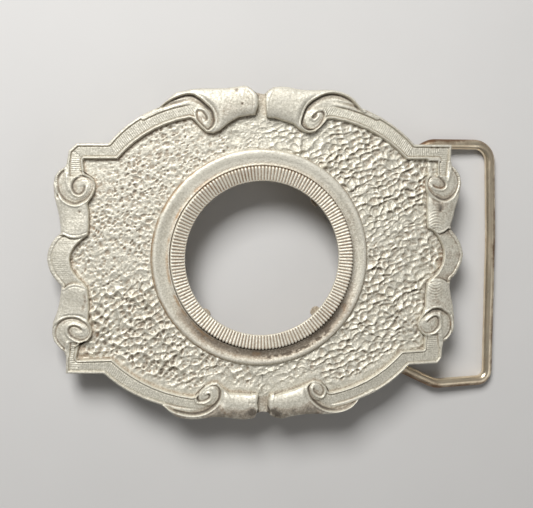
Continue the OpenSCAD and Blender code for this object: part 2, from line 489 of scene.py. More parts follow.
def cast_marks(
    grid: Array, tarnish_and_shade: Array | float, wear_and_sheen: Array | float, warm: Array | float = 0.0,
    along: Array | float = 0.0, hatch: Array | float = 0.0,
) -> dict[str, Array]:
    """Marks of a cast piece, each a grid of values or one value for all.

    Args:
        grid: the piece's points.
        tarnish_and_shade: how dark it is, from patina and from painted shade.
        wear_and_sheen: how bright it is, from rubbing and from painted highlights.
        warm: how orange it is.
        along: length across the hatching's lines.
        hatch: how strong the hatching is.

    Returns:
        One value of each for every point.
    """
    given = {"tarnish_and_shade": tarnish_and_shade, "wear_and_sheen": wear_and_sheen, "along": along, "hatch": hatch, "warm": warm}
    return {name: np.broadcast_to(value, grid.shape[:2]).astype(float) for name, value in given.items()}


class Part(Enum):
    """The solids that the dressed pieces stand for: the node, its material slot and its body."""

    PLATE = ("plate", "cast_pewter", "buckle")
    BEZEL = ("coin_bezel", "bezel_pewter", "buckle")
    POST = ("belt_post", "post_metal", "buckle")
    LOOP = ("belt_loop", "wire_metal", "loop")


def make_piece(name: str, shell: Shell, look: Look, part: Part, crease: float = 60.0) -> None:
    """Makes a finished piece of a shell, at the origin, with its marks as point attributes.

    Args:
        name: name of the piece.
        shell: its points, faces and marks in plate millimetres.
        look: its material.
        part: the solid that it stands for.
        crease: edges sharper than this many degrees stay sharp.
    """
    mesh = bpy.data.meshes.new(name)
    mesh.from_pydata(DATUM.place(shell.points), [], shell.quads.tolist() + shell.tris.tolist())
    for mark, value in shell.marks.items():
        mesh.attributes.new(mark, "FLOAT", "POINT").data.foreach_set("value", value.astype(np.float32))
    mesh.shade_smooth()
    mesh.set_sharp_from_angle(angle=math.radians(crease))
    mesh.validate()
    mesh.materials.append(look)
    piece = bpy.data.objects.new(name, mesh)
    bpy.context.scene.collection.objects.link(piece)
    node, slot, body = part.value
    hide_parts(node)
    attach(piece, body)
    LOG.info("%s: %d faces", name, len(mesh.polygons))


class Wire:
    """One output of a material's node. Arithmetic on it adds Math nodes."""

    def __init__(self, graph: "Graph", socket: bpy.types.NodeSocket) -> None:
        """Keeps the graph and the socket."""
        self.graph = graph
        self.socket = socket

    def _math(self, kind: str, *values: Any) -> "Wire":
        """Adds one Math node."""
        return self.graph.add("ShaderNodeMath", {"operation": kind}, dict(enumerate(values)))

    def __add__(self, other: Any) -> "Wire":
        """Sum."""
        return self._math("ADD", self, other)

    def __sub__(self, other: Any) -> "Wire":
        """Difference."""
        return self._math("SUBTRACT", self, other)

    def __rsub__(self, other: Any) -> "Wire":
        """Difference, the other way round."""
        return self._math("SUBTRACT", other, self)

    def __mul__(self, other: Any) -> "Wire":
        """Product."""
        return self._math("MULTIPLY", self, other)

    def sine(self) -> "Wire":
        """Sine of the value."""
        return self._math("SINE", self)

    __radd__ = __add__
    __rmul__ = __mul__

    def held(self) -> "Wire":
        """The value kept between 0 and 1."""
        return self.graph.add("ShaderNodeClamp", {}, {0: self})

    def stepped(self, low: float, high: float) -> "Wire":
        """Smooth step from 0 at low to 1 at high."""
        settings = {"interpolation_type": "SMOOTHSTEP"}
        return self.graph.add("ShaderNodeMapRange", settings, {0: self, 1: low, 2: high, 3: 0.0, 4: 1.0})


class Graph:
    """The nodes of one material."""

    def __init__(self, name: str) -> None:
        """Starts an empty material.

        Args:
            name: its name.
        """
        self.material = bpy.data.materials.new(name)
        self.material.use_nodes = True
        self.tree = self.material.node_tree
        self.tree.nodes.clear()

    def add(self, kind: str, settings: dict[str, Any], sockets: dict[Any, Any], out: Any = 0) -> Wire:
        """Adds one node of any type.

        Args:
            kind: the node's type.
            settings: its settings, set first.
            sockets: value or link of each socket, by name or number.
            out: the output that is wanted, by name or number.

        Returns:
            The wanted output.
        """
        node = self.tree.nodes.new(kind)
        for key, value in settings.items():
            setattr(node, key, value)
        for key, value in sockets.items():
            if isinstance(value, Wire):
                self.tree.links.new(value.socket, node.inputs[key])
            else:
                node.inputs[key].default_value = value
        return Wire(self, node.outputs[out])

    def mark(self, name: str) -> Wire:
        """A point attribute of the piece."""
        return self.add("ShaderNodeAttribute", {"attribute_name": name}, {}, "Fac")

    def spot(self, scale: tuple[float, float, float] = (1.0, 1.0, 1.0)) -> Wire:
        """The piece's own coordinates in millimetres.

        Args:
            scale: factors of X, Y and Z.

        Returns:
            The coordinates.
        """
        place = self.add("ShaderNodeTexCoord", {}, {}, "Object")
        factors = tuple(s / MM for s in scale)
        return self.add("ShaderNodeVectorMath", {"operation": "MULTIPLY"}, {0: place, 1: factors})

    def noise(self, place: Wire, scale: float, detail: float = 3.0, rough: float = 0.55) -> Wire:
        """Cloudy noise from about 0.2 to 0.8."""
        sockets = {"Vector": place, "Scale": scale, "Detail": detail, "Roughness": rough}
        return self.add("ShaderNodeTexNoise", {}, sockets)

    def streaks(self, first: Wire, second: Any, rough: float) -> Wire:
        """Noise over two values, which is streaky where they grow at different rates."""
        place = self.add("ShaderNodeCombineXYZ", {}, {0: first, 1: second, 2: 0.0})
        return self.noise(place, 1.0, 3.0, rough)

    def tint(self, first: Any, second: Any, share: Any) -> Wire:
        """Mixes two colours."""
        return self.add("ShaderNodeMix", {"data_type": "RGBA"}, {0: share, 6: first, 7: second}, 2)

    def bump(self, height: Wire, reach: float, strength: float = 1.0, under: Wire | None = None) -> Wire:
        """Bumps of the surface.

        Args:
            height: height from 0 to 1.
            reach: millimetres that a height of 1 stands for.
            strength: how much they show.
            under: bumps that these lie on.

        Returns:
            The bent normal.
        """
        sockets: dict[str, Any] = {"Strength": strength, "Distance": reach * MM, "Height": height}
        if under is not None:
            sockets["Normal"] = under
        return self.add("ShaderNodeBump", {}, sockets)

    def finish(self, colour: Wire, metal: float, rough: Any, normal: Any = None) -> Look:
        """Adds the surface shader and the output.

        Args:
            colour: base colour.
            metal: how metallic it is, 0 to 1.
            rough: roughness.
            normal: the bumps, if there are any.

        Returns:
            The material.
        """
        sockets = {"Base Color": colour, "Metallic": metal, "Roughness": rough}
        if normal is not None:
            sockets["Normal"] = normal
        shader = self.add("ShaderNodeBsdfPrincipled", {}, sockets)
        out = self.tree.nodes.new("ShaderNodeOutputMaterial")
        self.tree.links.new(shader.socket, out.inputs["Surface"])
        return self.material


def rgba(red: float, green: float, blue: float) -> Colour:
    """A colour with full alpha."""
    return (red, green, blue, 1.0)


@dataclass(frozen=True)
class CastPewter:
    """Warm grey cast white metal: bright on the crests, brown-grey in the hollows, finely scratched; its
    marks also carry painted shade and painted highlights.
    """

    name: str
    bright: Colour = rgba(0.80, 0.765, 0.660)
    base: Colour = rgba(0.57, 0.54, 0.45)
    dark: Colour = rgba(0.13, 0.105, 0.08)
    rust: Colour = rgba(0.30, 0.17, 0.08)
    orange: Colour = rgba(0.50, 0.31, 0.15)
    rough: float = 0.52
    metal: float = 0.58
    hatch_pitch: float = 0.46

    def build(self) -> Look:
        """Makes the material. It reads the marks tarnish, wear, along, hatch and warm.

        Returns:
            The material.
        """
        g = Graph(self.name)
        place = g.spot()
        cloud = g.noise(place, 0.22, 4.0)
        speck = g.noise(place, 2.6, 4.0, 0.65)
        fine = g.noise(place, 9.0, 2.0)
        grit = g.noise(place, 2.3, 1.0, 0.5)
        scratch = g.noise(g.spot((0.35, 3.4, 1.0)), 2.2, 2.0, 0.6)
        # The darkening mark is partly patina and partly painted shade; the brightening mark is partly
        # rubbing and partly painted highlight.
        stain_and_shade = (g.mark("tarnish_and_shade") + (speck - 0.5) * 0.8 + (cloud - 0.5) * 0.5).held()
        wear_and_sheen = (g.mark("wear_and_sheen") + (fine - 0.5) * 0.3 + (grit - 0.5) * 3.2).held()
        colour = g.tint(self.base, self.bright, (wear_and_sheen * 0.9 + (cloud - 0.42) * 0.5).held())
        colour = g.tint(colour, self.dark, stain_and_shade.stepped(0.22, 0.95) * 0.93)
        warm = cloud.stepped(0.60, 0.72) * stain_and_shade.stepped(0.3, 0.7) * 0.5
        warm = warm + stain_and_shade.stepped(0.22, 0.42) * (1.0 - stain_and_shade.stepped(0.5, 0.8)) * 0.25
        colour = g.tint(colour, self.rust, warm.held())
        warm = (g.mark("warm") * (speck.stepped(0.3, 0.6) * 0.6 + 0.35)).held()
        colour = g.tint(colour, self.orange, warm)
        rough = self.rough + (1.0 - wear_and_sheen) * 0.10 + stain_and_shade * 0.22 + (scratch - 0.5) * 0.16
        wave = (g.mark("along") * (math.tau / self.hatch_pitch)).sine()
        lines = (wave * 0.5 + 0.5) * g.mark("hatch") * (0.55 + speck * 0.7)
        normal = g.bump(lines, 0.08, 0.8)
        normal = g.bump(speck, 0.13, 0.7, normal)
        normal = g.bump(scratch, 0.03, 0.5, normal)
        normal = g.bump(fine, 0.03, 0.6, normal)
        return g.finish(colour, self.metal, rough.held(), normal)


@dataclass(frozen=True)
class DrawnWire:
    """Drawn wire with worn plating: brassy grey with drawing lines and rust-brown stains, and painted shade
    on its underside.
    """

    name: str
    bright: Colour = rgba(0.90, 0.79, 0.60)
    base: Colour = rgba(0.60, 0.46, 0.31)
    rust: Colour = rgba(0.17, 0.075, 0.03)
    rough: float = 0.30
    metal: float = 0.95

    def build(self) -> Look:
        """Makes the material. It reads the marks along, around and tarnish.

        Returns:
            The material.
        """
        g = Graph(self.name)
        place = g.spot()
        cloud = g.noise(place, 0.35, 4.0)
        speck = g.noise(place, 3.5, 3.0, 0.7)
        drawn = g.streaks(g.mark("along") * 0.16, g.mark("around") * 9.0, 0.6)
        stain_and_shade = (g.mark("tarnish_and_shade") + (cloud - 0.5) * 0.9 + (speck - 0.5) * 0.5).held()
        colour = g.tint(self.bright, self.base, ((cloud - 0.3) * 1.4 + (drawn - 0.5) * 0.8).held())
        colour = g.tint(colour, self.rust, stain_and_shade.stepped(0.30, 0.85) * 0.92)
        rough = self.rough + stain_and_shade * 0.28 + (drawn - 0.5) * 0.22
        normal = g.bump(drawn, 0.02, 0.6)
        normal = g.bump(speck, 0.03, 0.35, normal)
        return g.finish(colour, self.metal, rough.held(), normal)


@dataclass(frozen=True)
class TurnedMetal:
    """Dull turned metal with fine rings round its axis."""

    name: str
    base: Colour = rgba(0.60, 0.52, 0.38)
    dark: Colour = rgba(0.20, 0.14, 0.08)
    rough: float = 0.34
    metal: float = 0.95

    def build(self) -> Look:
        """Makes the material. It reads the mark along, the length of the turned profile.

        Returns:
            The material.
        """
        g = Graph(self.name)
        place = g.spot()
        cloud = g.noise(place, 0.8, 4.0)
        rings = g.streaks(g.mark("along") * 6.0, 0.0, 0.7)
        soiled = (cloud.stepped(0.35, 0.75) * 0.6 + (rings - 0.5) * 0.4).held()
        colour = g.tint(self.base, self.dark, soiled)
        rough = (self.rough + (rings - 0.5) * 0.3 + cloud * 0.15).held()
        return g.finish(colour, self.metal, rough, g.bump(rings, 0.05, 0.5))


@dataclass(frozen=True)
class Quarter:
    """The drawn lines of one quarter of the border, laid out as if it were the upper right one.

    A scar is a place, a size, a depth and a darkness. strap_in is where a narrow upright strap ends.
    """

    name: str
    side_x: int
    side_y: int
    bend_x: float
    shoulder: Pair
    volute_eye: Pair
    roll_eye: Pair
    side_outline: Table
    roll_outline: Table
    side_field: Table
    roll_field: Table
    volute: Table
    tail: Table
    tube_lip: Table
    roll: Table
    roll_lip: Table
    scars: tuple[tuple[float, ...], ...]
    strap_in: float = 0.0

    def outline(self) -> Array:
        """The outer edge from the lobe's middle to the notch."""
        arch = bow((self.bend_x, CORNER_OUT), self.shoulder, 0.9)
        return densify(self.side_outline + arch + self.roll_outline, LINE_STEP)

    def field_edge(self) -> Array:
        """The border's inner edge from the lobe's middle to the notch."""
        arch = bow((self.bend_x - 2.0, CORNER_IN), (16.2, 31.1), 1.6)
        return densify(self.side_field + arch + self.roll_field, LINE_STEP)


UPPER_LEFT = Quarter(
    name="upper_left", side_x=-1, side_y=1, bend_x=34.0, shoulder=(22.9, 33.7),
    volute_eye=(41.2, 16.3), roll_eye=(12.9, 31.1),
    side_outline=tenths(480, 0, 479, 12, 476, 24, 469, 39, 460, 51, 449, 60, 449, 75, 451, 95, 456, 120,
        461, 140, 462, 167, 459, 185, 450, 198, 436, 206, 432, 213, 427, 242, 409, 258),
    roll_outline=tenths(212, 352, 191, 370, 170, 374, 157, 377, 138, 379, 106, 379, 80, 380, 60, 383, 42,
        386, 33, 385, 24, 379, 14, 371, 6, 369, 0, 368),
    side_field=tenths(427, 0, 425, 12, 418, 26, 407, 38, 396, 47, 386, 54, 383, 70, 382, 105, 385, 126,
        375, 140, 369, 154, 367, 166, 371, 180, 380, 188, 391, 194, 393, 221),
    roll_field=tenths(157, 309, 152, 304, 141, 292, 128, 280, 111, 277, 95, 283, 75, 300, 53, 313, 27,
        317, 15, 321, 10, 335, 9, 390),
    volute=tenths(430, 204, 442, 198, 451, 188, 454, 176, 454, 164, 452, 152, 445, 140, 436, 131, 424,
        125, 414, 123, 402, 127, 390, 133, 380, 144, 374, 154, 371, 164, 374, 175, 381, 183, 392, 187,
        403, 187, 413, 182, 420, 174, 423, 164, 421, 155, 416, 147, 407, 144, 399, 147, 393, 154, 391,
        163, 391, 169),
    tail=tenths(431, 216, 432, 196, 432, 176, 429, 156),
    tube_lip=tenths(388, 58, 396, 55, 407, 51, 420, 50, 431, 52, 440, 57),
    roll=tenths(229, 335, 213, 347, 189, 359, 169, 365, 154, 364, 145, 359, 136, 353, 127, 345, 118, 337,
        111, 327, 108, 317, 107, 306, 110, 297, 116, 290, 123, 287, 131, 292, 139, 300, 146, 310, 149,
        320, 147, 329, 142, 332, 134, 331, 127, 324, 122, 315, 123, 308, 127, 303),
    roll_lip=tenths(19, 317, 17, 325, 12, 340, 11, 353, 14, 365, 22, 375, 34, 385),
    scars=(
        (40.6, 10.8, 0.35, 0.12, 0.7), (38.3, 9.0, 0.35, 0.0, 0.25), (4.7, 34.5, 0.22, 0.12, 0.8),
        (5.9, 37.6, 0.45, 0.0, 0.5), (7.5, 37.9, 0.5, 0.0, 0.35),
    ),
)

UPPER_RIGHT = Quarter(
    name="upper_right", side_x=1, side_y=1, bend_x=35.5, shoulder=(22.7, 33.9),
    volute_eye=(42.4, 16.6), roll_eye=(11.7, 31.3), strap_in=41.3,
    side_outline=tenths(483, 0, 480, 15, 474, 30, 464, 45, 452, 58, 449, 70, 456, 90, 463, 118, 470, 140,
        475, 169, 471, 187, 462, 200, 450, 210, 446, 220, 447, 258),
    roll_outline=tenths(219, 348, 208, 360, 196, 369, 179, 375, 159, 379, 139, 379, 118, 378, 97, 378, 78,
        380, 59, 384, 40, 385, 25, 383, 16, 378, 9, 371, 4, 368, 0, 368),
    side_field=tenths(430, 0, 429, 12, 425, 24, 416, 40, 404, 54, 389, 62, 386, 75, 385, 122, 386, 140,
        382, 154, 381, 168, 383, 182, 387, 189, 385, 221),
    roll_field=tenths(150, 311, 144, 305, 133, 293, 120, 282, 105, 279, 92, 281, 80, 288, 68, 298, 50,
        304, 27, 311, 9, 317, 7, 335, 6, 390),
    volute=tenths(445, 209, 456, 198, 464, 186, 467, 172, 465, 158, 459, 145, 448, 135, 436, 129, 423,
        129, 411, 134, 400, 141, 391, 151, 386, 162, 386, 172, 390, 181, 397, 186, 408, 187, 419, 184,
        428, 176, 433, 167, 431, 159, 423, 155, 412, 156, 402, 160, 396, 168),
    tail=tenths(444, 218, 442, 198, 439, 176),
    tube_lip=tenths(383, 73, 397, 62, 408, 56, 419, 53, 430, 57, 440, 64),
    roll=tenths(228, 329, 221, 336, 213, 345, 202, 356, 188, 364, 173, 369, 156, 371, 139, 368, 124, 361,
        111, 353, 100, 343, 93, 330, 88, 315, 86, 302, 92, 293, 104, 287, 116, 288, 128, 295, 136, 306,
        141, 319, 140, 328, 134, 332, 123, 329, 114, 323, 110, 316, 116, 313, 122, 318, 127, 325),
    roll_lip=tenths(6, 318, 3, 331, 2, 344, 4, 357, 8, 368, 15, 379),
    scars=(
        (41.7, 11.9, 0.8, 0.05, 0.4), (42.0, 10.8, 0.6, 0.05, 0.4), (40.3, 12.6, 0.5, 0.0, 0.35),
        (40.3, 20.0, 0.35, 0.15, 0.6), (39.8, 25.0, 0.5, 0.08, 0.3), (41.2, 25.1, 0.5, 0.1, 0.4),
        (42.6, 25.2, 0.4, 0.08, 0.3), (44.6, 20.3, 0.35, -0.15, 0.0), (45.5, 19.5, 0.3, -0.15, 0.0),
        (46.2, 18.7, 0.3, -0.12, 0.0),
    ),
)

LOWER_LEFT = Quarter(
    name="lower_left", side_x=-1, side_y=-1, bend_x=36.0, shoulder=(23.0, 33.2),
    volute_eye=(42.5, 16.2), roll_eye=(12.4, 31.2),
    side_outline=tenths(480, 0, 478, 12, 474, 26, 467, 38, 458, 49, 450, 59, 452, 75, 456, 100, 462, 120,
        470, 140, 473, 166, 469, 184, 458, 198, 446, 209, 443, 218, 444, 257),
    roll_outline=tenths(212, 349, 199, 359, 185, 364, 165, 367, 146, 367, 130, 365, 114, 363, 95, 364, 78,
        366, 63, 369, 44, 371, 29, 370, 19, 365, 12, 358, 5, 355, 0, 355),
    side_field=tenths(427, 0, 424, 17, 418, 28, 409, 39, 398, 50, 389, 62, 387, 80, 386, 110, 389, 136,
        383, 150, 381, 163, 384, 174, 394, 185, 410, 190, 417, 223),
    roll_field=tenths(155, 309, 145, 299, 132, 286, 117, 279, 103, 280, 93, 291, 77, 303, 47, 306, 18,
        308, 10, 312, 9, 330, 8, 390),
    volute=tenths(439, 207, 452, 197, 463, 183, 468, 168, 466, 155, 461, 143, 451, 134, 439, 129, 426,
        128, 414, 130, 404, 136, 394, 143, 388, 152, 386, 162, 389, 172, 396, 179, 406, 183, 415, 182,
        425, 177, 433, 171, 438, 163, 437, 154, 432, 148, 423, 146, 413, 149, 406, 154, 403, 161),
    tail=tenths(441, 218, 440, 202, 439, 186),
    tube_lip=tenths(390, 66, 399, 58, 411, 54, 422, 53, 433, 56, 443, 64),
    roll=tenths(226, 331, 208, 343, 194, 349, 176, 354, 158, 356, 139, 353, 123, 346, 110, 336, 100, 323,
        96, 308, 97, 297, 102, 286, 109, 282, 121, 282, 133, 287, 142, 294, 149, 304, 152, 316, 150, 325,
        143, 327, 134, 326, 126, 322, 120, 315, 121, 308, 127, 307, 130, 313),
    roll_lip=tenths(9, 308, 12, 318, 14, 332, 12, 344, 17, 360),
    scars=(
        (39.8, 8.1, 0.5, 0.06, 0.6), (39.7, 9.3, 0.5, 0.06, 0.6), (40.2, 10.4, 0.5, 0.06, 0.45),
        (40.3, 11.3, 0.6, 0.0, 0.3), (38.7, 18.6, 0.4, 0.1, 0.5), (2.4, 34.9, 1.0, 0.05, 0.75),
        (3.2, 32.9, 0.25, 0.1, 0.3), (2.3, 33.0, 0.25, 0.1, 0.3), (31.9, 24.1, 0.4, 0.0, 0.25),
        (31.0, 24.9, 0.5, 0.0, 0.25),
    ),
)

LOWER_RIGHT = Quarter(
    name="lower_right", side_x=1, side_y=-1, bend_x=35.0, shoulder=(22.8, 33.4),
    volute_eye=(41.3, 16.2), roll_eye=(12.6, 30.8),
    side_outline=tenths(483, 0, 480, 17, 472, 34, 463, 48, 452, 58, 450, 72, 454, 95, 460, 120, 463, 145,
        464, 166, 461, 184, 451, 198, 439, 208, 434, 218, 433, 245, 422, 258),
    roll_outline=tenths(210, 352, 192, 361, 174, 365, 157, 366, 140, 366, 122, 364, 100, 364, 79, 366, 61,
        369, 44, 372, 29, 369, 19, 362, 11, 356, 5, 355, 0, 355),
    side_field=tenths(430, 0, 428, 14, 422, 28, 413, 41, 400, 52, 389, 62, 386, 80, 385, 120, 379, 136,
        370, 152, 368, 164, 372, 176, 380, 186, 386, 192, 385, 220),
    roll_field=tenths(156, 310, 150, 299, 138, 287, 121, 282, 110, 285, 96, 291, 73, 300, 45, 307, 16,
        314, 11, 325, 10, 390),
    volute=tenths(430, 202, 442, 197, 451, 187, 455, 175, 456, 162, 454, 150, 447, 140, 438, 133, 426,
        126, 415, 124, 404, 126, 394, 132, 384, 140, 376, 149, 372, 161, 375, 171, 381, 180, 390, 185,
        400, 186, 409, 183, 417, 177, 423, 169, 425, 160, 424, 150, 419, 144, 411, 142, 402, 146, 394,
        152, 389, 159),
    tail=tenths(431, 218, 428, 190, 426, 160, 424, 136),
    tube_lip=tenths(387, 61, 400, 57, 411, 55, 423, 56, 432, 59, 441, 65),
    roll=tenths(226, 334, 209, 348, 192, 355, 175, 358, 159, 357, 143, 352, 130, 344, 119, 334, 110, 323,
        105, 310, 104, 299, 110, 290, 119, 286, 129, 288, 137, 293, 143, 301, 144, 312, 140, 321, 133,
        322, 125, 318, 118, 311, 117, 302, 122, 298),
    roll_lip=tenths(17, 314, 13, 325, 13, 339, 17, 350),
    scars=(
        (2.2, 34.9, 0.9, 0.05, 0.7), (3.3, 36.0, 0.7, 0.05, 0.5), (40.4, 16.8, 0.5, 0.1, 0.3),
    ),
)

QUARTERS = (UPPER_RIGHT, UPPER_LEFT, LOWER_LEFT, LOWER_RIGHT)


@dataclass
class Rim:
    """The plate's two edges as radii round the window's centre, for every angle."""

    samples: int = 20000
    notch_r: float = 39.0

    def __post_init__(self) -> None:
        """Works out both edges from the four quarters."""
        self.outline = self._round([q.outline() for q in QUARTERS])
        self.inner = self._round([q.field_edge() for q in QUARTERS])

    @staticmethod
    def _round(lines: list[Array]) -> tuple[Array, Array]:
        """Puts four lines, one of each quarter, together round the plate.

        Args:
            lines: the lines, in the order of QUARTERS.

        Returns:
            Angle and radius of every point, sorted by angle.
        """
        sides = [line * np.array([q.side_x, q.side_y]) for q, line in zip(QUARTERS, lines)]
        x, y = np.concatenate(sides).T
        angle = np.mod(np.arctan2(y, x), math.tau)
        order = np.argsort(angle, kind="stable")
        return angle[order], np.hypot(x, y)[order]

    def outer_radius(self, angle: Array) -> Array:
        """Radius of the plate's outline at an angle."""
        return np.interp(angle, *self.outline, period=math.tau)

    def inner_radius(self, angle: Array) -> Array:
        """Radius of the border's inner edge at an angle."""
        return np.interp(angle, *self.inner, period=math.tau)

    def spaced(self, low: float, high: float, count: int) -> Array:
        """Angles between two others, closer together where an edge runs outwards.

        The weight of each small step is the mean length that both edges run in it.

        Args:
            low: first angle.
            high: last angle.
            count: number of angles.

        Returns:
            The angles.
        """
        angle = np.linspace(low, high, self.samples)
        step = angle[1] - angle[0]
        weight = np.zeros(len(angle) - 1)
        for radius in (self.outer_radius(angle), np.minimum(self.inner_radius(angle), self.notch_r)):
            weight += np.hypot(np.diff(radius), radius[1:] * step)
        reach = np.concatenate([[0.0], np.cumsum(weight)])
        return np.interp(np.linspace(0.0, reach[-1], count), reach, angle)


@dataclass
class Relief:
    """The carved heights of one quarter of the border above the bowed face.

    Its points xy are mirrored into the upper right quarter, where x grows to the side and y to the
    roll. Inner and outer are their distances to the field's edge and to the outline. The parts are
    laid over each other in the order in which they overlap.
    """

    quarter: Quarter
    xy: Array
    inner: Array
    outer: Array
    side_from: Pair = (34.0, 36.0)
    strap_width: float = 3.75
    strap_top: float = 0.68
    tube_end: float = 14.6
    tube_foot: float = 0.5
    tube_rise: float = 1.1
    score_pitch: float = 0.68
    lobe_foot: float = 0.78
    lobe_rise: float = 0.48
    bead_pitch: float = 0.72
    disc_top: float = 18.75
    disc_r: float = 4.6
    disc_level: float = 1.10
    roll_foot: float = 0.40
    roll_rise: float = 1.70
    eye_r: float = 2.6
    eye_level: float = 0.98
    mouth_round: float = 0.9
    mouth_drop: float = 0.55
    mouth_floor: float = 0.30
    wall_foot: float = -0.45
    wall_width: float = 0.55
    edge_round: float = 0.45

    def __post_init__(self) -> None:
        """Carves the quarter, one part after another."""
        self.x, self.y = self.xy[..., 0], self.xy[..., 1]
        self.share = self.inner / np.maximum(self.inner + self.outer, 1e-6)
        self.side = ease(self.x, *self.side_from)
        self.height = np.zeros_like(self.inner)
        self.hatch = np.zeros_like(self.inner)
        self.stain_and_shade = np.zeros_like(self.inner)
        self._strap()
        self._tube()
        self._lobe()
        self._volute()
        self._roll()
        self._scars()
        self._edges()

    def _cover(self, height: Array | float, share: Array, hatch: Array | float = 0.0) -> None:
        """Lays a part over what is there, wholly where share is 1."""
        self.height = blend(self.height, height, share)
        self.hatch = blend(self.hatch, hatch, share)

    def _from(self, place: Pair) -> Array:
        """Distance of every point from a place."""
        return np.hypot(self.x - place[0], self.y - place[1])

    def _line(self, near: Near, inward: Array) -> None:
        """Raises a thin ridge outside a scroll line and dishes the floor inside it.

        Args:
            near: how the points lie to the line.
            inward: distance inwards from the line, negative outside it.
        """
        reach = ease(near.along, 0.0, 1.5) * ease(2.2 - near.distance, 0.0, 1.0)
        reach = reach * ease(near.along.max() - near.along, 0.0, 0.8)
        dish = bell(inward - 0.85, 0.5)
        self.height += reach * (0.32 * bell(inward + 0.22, 0.27) - 0.22 * bell(inward - 0.28, 0.24))
        self.height -= reach * 0.12 * dish
        # Painted shade in the furrow just inside the scroll line and over the dished floor.
        self.stain_and_shade += reach * (0.30 * bell(inward - 0.26, 0.22) + 0.20 * dish)

    def run(self) -> Array:
        """Length along the strap for the hatching, straight in each of its three runs.

        The upright run counts y, the level run counts x, and the slanting run counts the length along
        it. They meet in mitres.

        Returns:
            One length for each point.
        """
        q, x, y = self.quarter, self.x, self.y
        slope = np.array([q.shoulder[0] - q.bend_x, q.shoulder[1] - CORNER_OUT])
        slope = slope / np.hypot(*slope)
        slanted = (x - q.bend_x) * slope[0] + (y - CORNER_OUT) * slope[1]
        straight = np.where(y < x - 17.2, y, x)
        mitre = (x - q.bend_x + 2.0) / 2.0 - (y - CORNER_IN) / (CORNER_OUT - CORNER_IN)
        return np.where((mitre < 0.0) & (y > 20.0), slanted, straight)

    def _strap(self) -> None:
        """A channelled strap with two flat rims. Its upright run keeps to the volute's tail line.

        Where that run is narrow, the ground between it and the field is lumpy.
        """
        q, x, y = self.quarter, self.x, self.y
        tail = crossing(q.tail, y, upright=True)
        beside = self.side * ease(CORNER_IN - y, 0.0, 0.3)
        outer = blend(self.outer, np.abs(tail - x), beside)
        corner = np.hypot(np.maximum(x - q.strap_in, 0.0), np.maximum(y - CORNER_IN, 0.0))
        inner = np.minimum(self.inner, corner)
        outer = np.minimum(outer, self.strap_width + 4.0 * ease(x, 26.0, 30.0) - inner)
        inner = inner + 0.35 * beside * (q.strap_in > 0.0)
        spread = 1.0 - ease(18.5 - x, 0.0, 3.5)
        rim = ease(0.62 - outer, 0.0, 0.18)
        self.height = self.strap_top + 0.32 * rim * spread + 0.34 * ease(0.85 - inner, 0.0, 0.18)
        self.height -= 0.10 * (bell(outer - 0.74, 0.11) * spread + bell(inner - 0.98, 0.11))
        self.height -= 0.22 * ease(-outer, 0.0, 0.3) * spread
        self.height += 0.14 * bell(outer + 0.85, 0.22) * ease(x, 16.0, 18.0) * ease(28.0 - x, 0.0, 4.0)
        self.hatch = ease(inner, 0.95, 1.1) * ease(outer, 0.80, 0.95)
        # Painted shade in the strap's two furrows and just beyond its outer edge, stronger on the upper
        # quarters.
        strap_groove_shade = bell(outer - 0.74, 0.12) * spread + bell(inner - 0.98, 0.12) + bell(outer + 0.35, 0.2)
        self.stain_and_shade = (0.18 if q.side_y > 0 else 0.08) * strap_groove_shade
        pocket = (corner <= 0.0) * self.side * ease(y, 18.0, 19.0)
        lumps = uneven(self.xy, (1.0, 8, 0.9), (0.6, 9, 0.5))
        self._cover(0.42 + 0.20 * lumps, pocket)

    def _tube(self) -> None:
        """The side tube: a flat-topped round, narrower in its middle, scored across on the right."""
        x, y, right = self.x, self.y, self.quarter.side_x > 0
        lip = crossing(self.quarter.tube_lip, x)
        on_tube = self.side * ease(self.tube_end - y, 0.0, 1.2)
        top = self.tube_foot + self.tube_rise * arched(self.share)
        top = top * (1.0 - 0.09 * bell(y - 10.3, 2.4)) + 0.07 * bell(self.outer - 0.55, 0.28)
        if right:
            scores = np.cos(math.tau * (y + 0.25 * (x - 41.0) ** 2) / self.score_pitch)
            spread = bell(x - 41.0, 1.4) * bell(y - 8.0, 2.6)
            top = top + 0.07 * scores * spread
        self._cover(top, on_tube)
        patches = 1.0 + uneven(self.xy, (0.7, 4, 1.8), (0.7, 3, 0.7))
        self.stain_and_shade = blend(self.stain_and_shade, 0.20 * right * patches, on_tube)
        self.height -= self.side * 0.10 * bell(y - lip - 0.55, 0.14)

    def _lobe(self) -> None:
        """The side lobe: high at the field, falling to a beaded rim, under the tube's lip."""
        right, outer, share = self.quarter.side_x > 0, self.outer, self.share
        under = crossing(self.quarter.tube_lip, self.x) - self.y
        beads = 0.85 + 0.15 * np.cos(math.tau * self.y / self.bead_pitch)
        height = self.lobe_foot + self.lobe_rise * (1.0 - share) ** 1.3
        height = height + 0.11 * ease(0.85 - outer, 0.0, 0.2) * beads
        height = height + 0.12 * ease(0.9 - self.inner, 0.0, 0.25) * right
        height = height - 0.08 * bell(outer - 0.95, 0.14)
        height = height - 0.10 * bell(under - 0.35, 0.3)
        below = self.side * ease(under, 0.0, 0.22)
        hatch = (0.45 if right else 0.22) * ease(outer, 1.1, 1.3) * ease(share, 0.1, 0.3)
        self._cover(height, below, hatch)
        # Painted shade in the furrow near the outline and under the tube's lip.
        self.stain_and_shade += below * (0.15 * bell(outer - 0.95, 0.14) + 0.12 * bell(under - 0.3, 0.2))

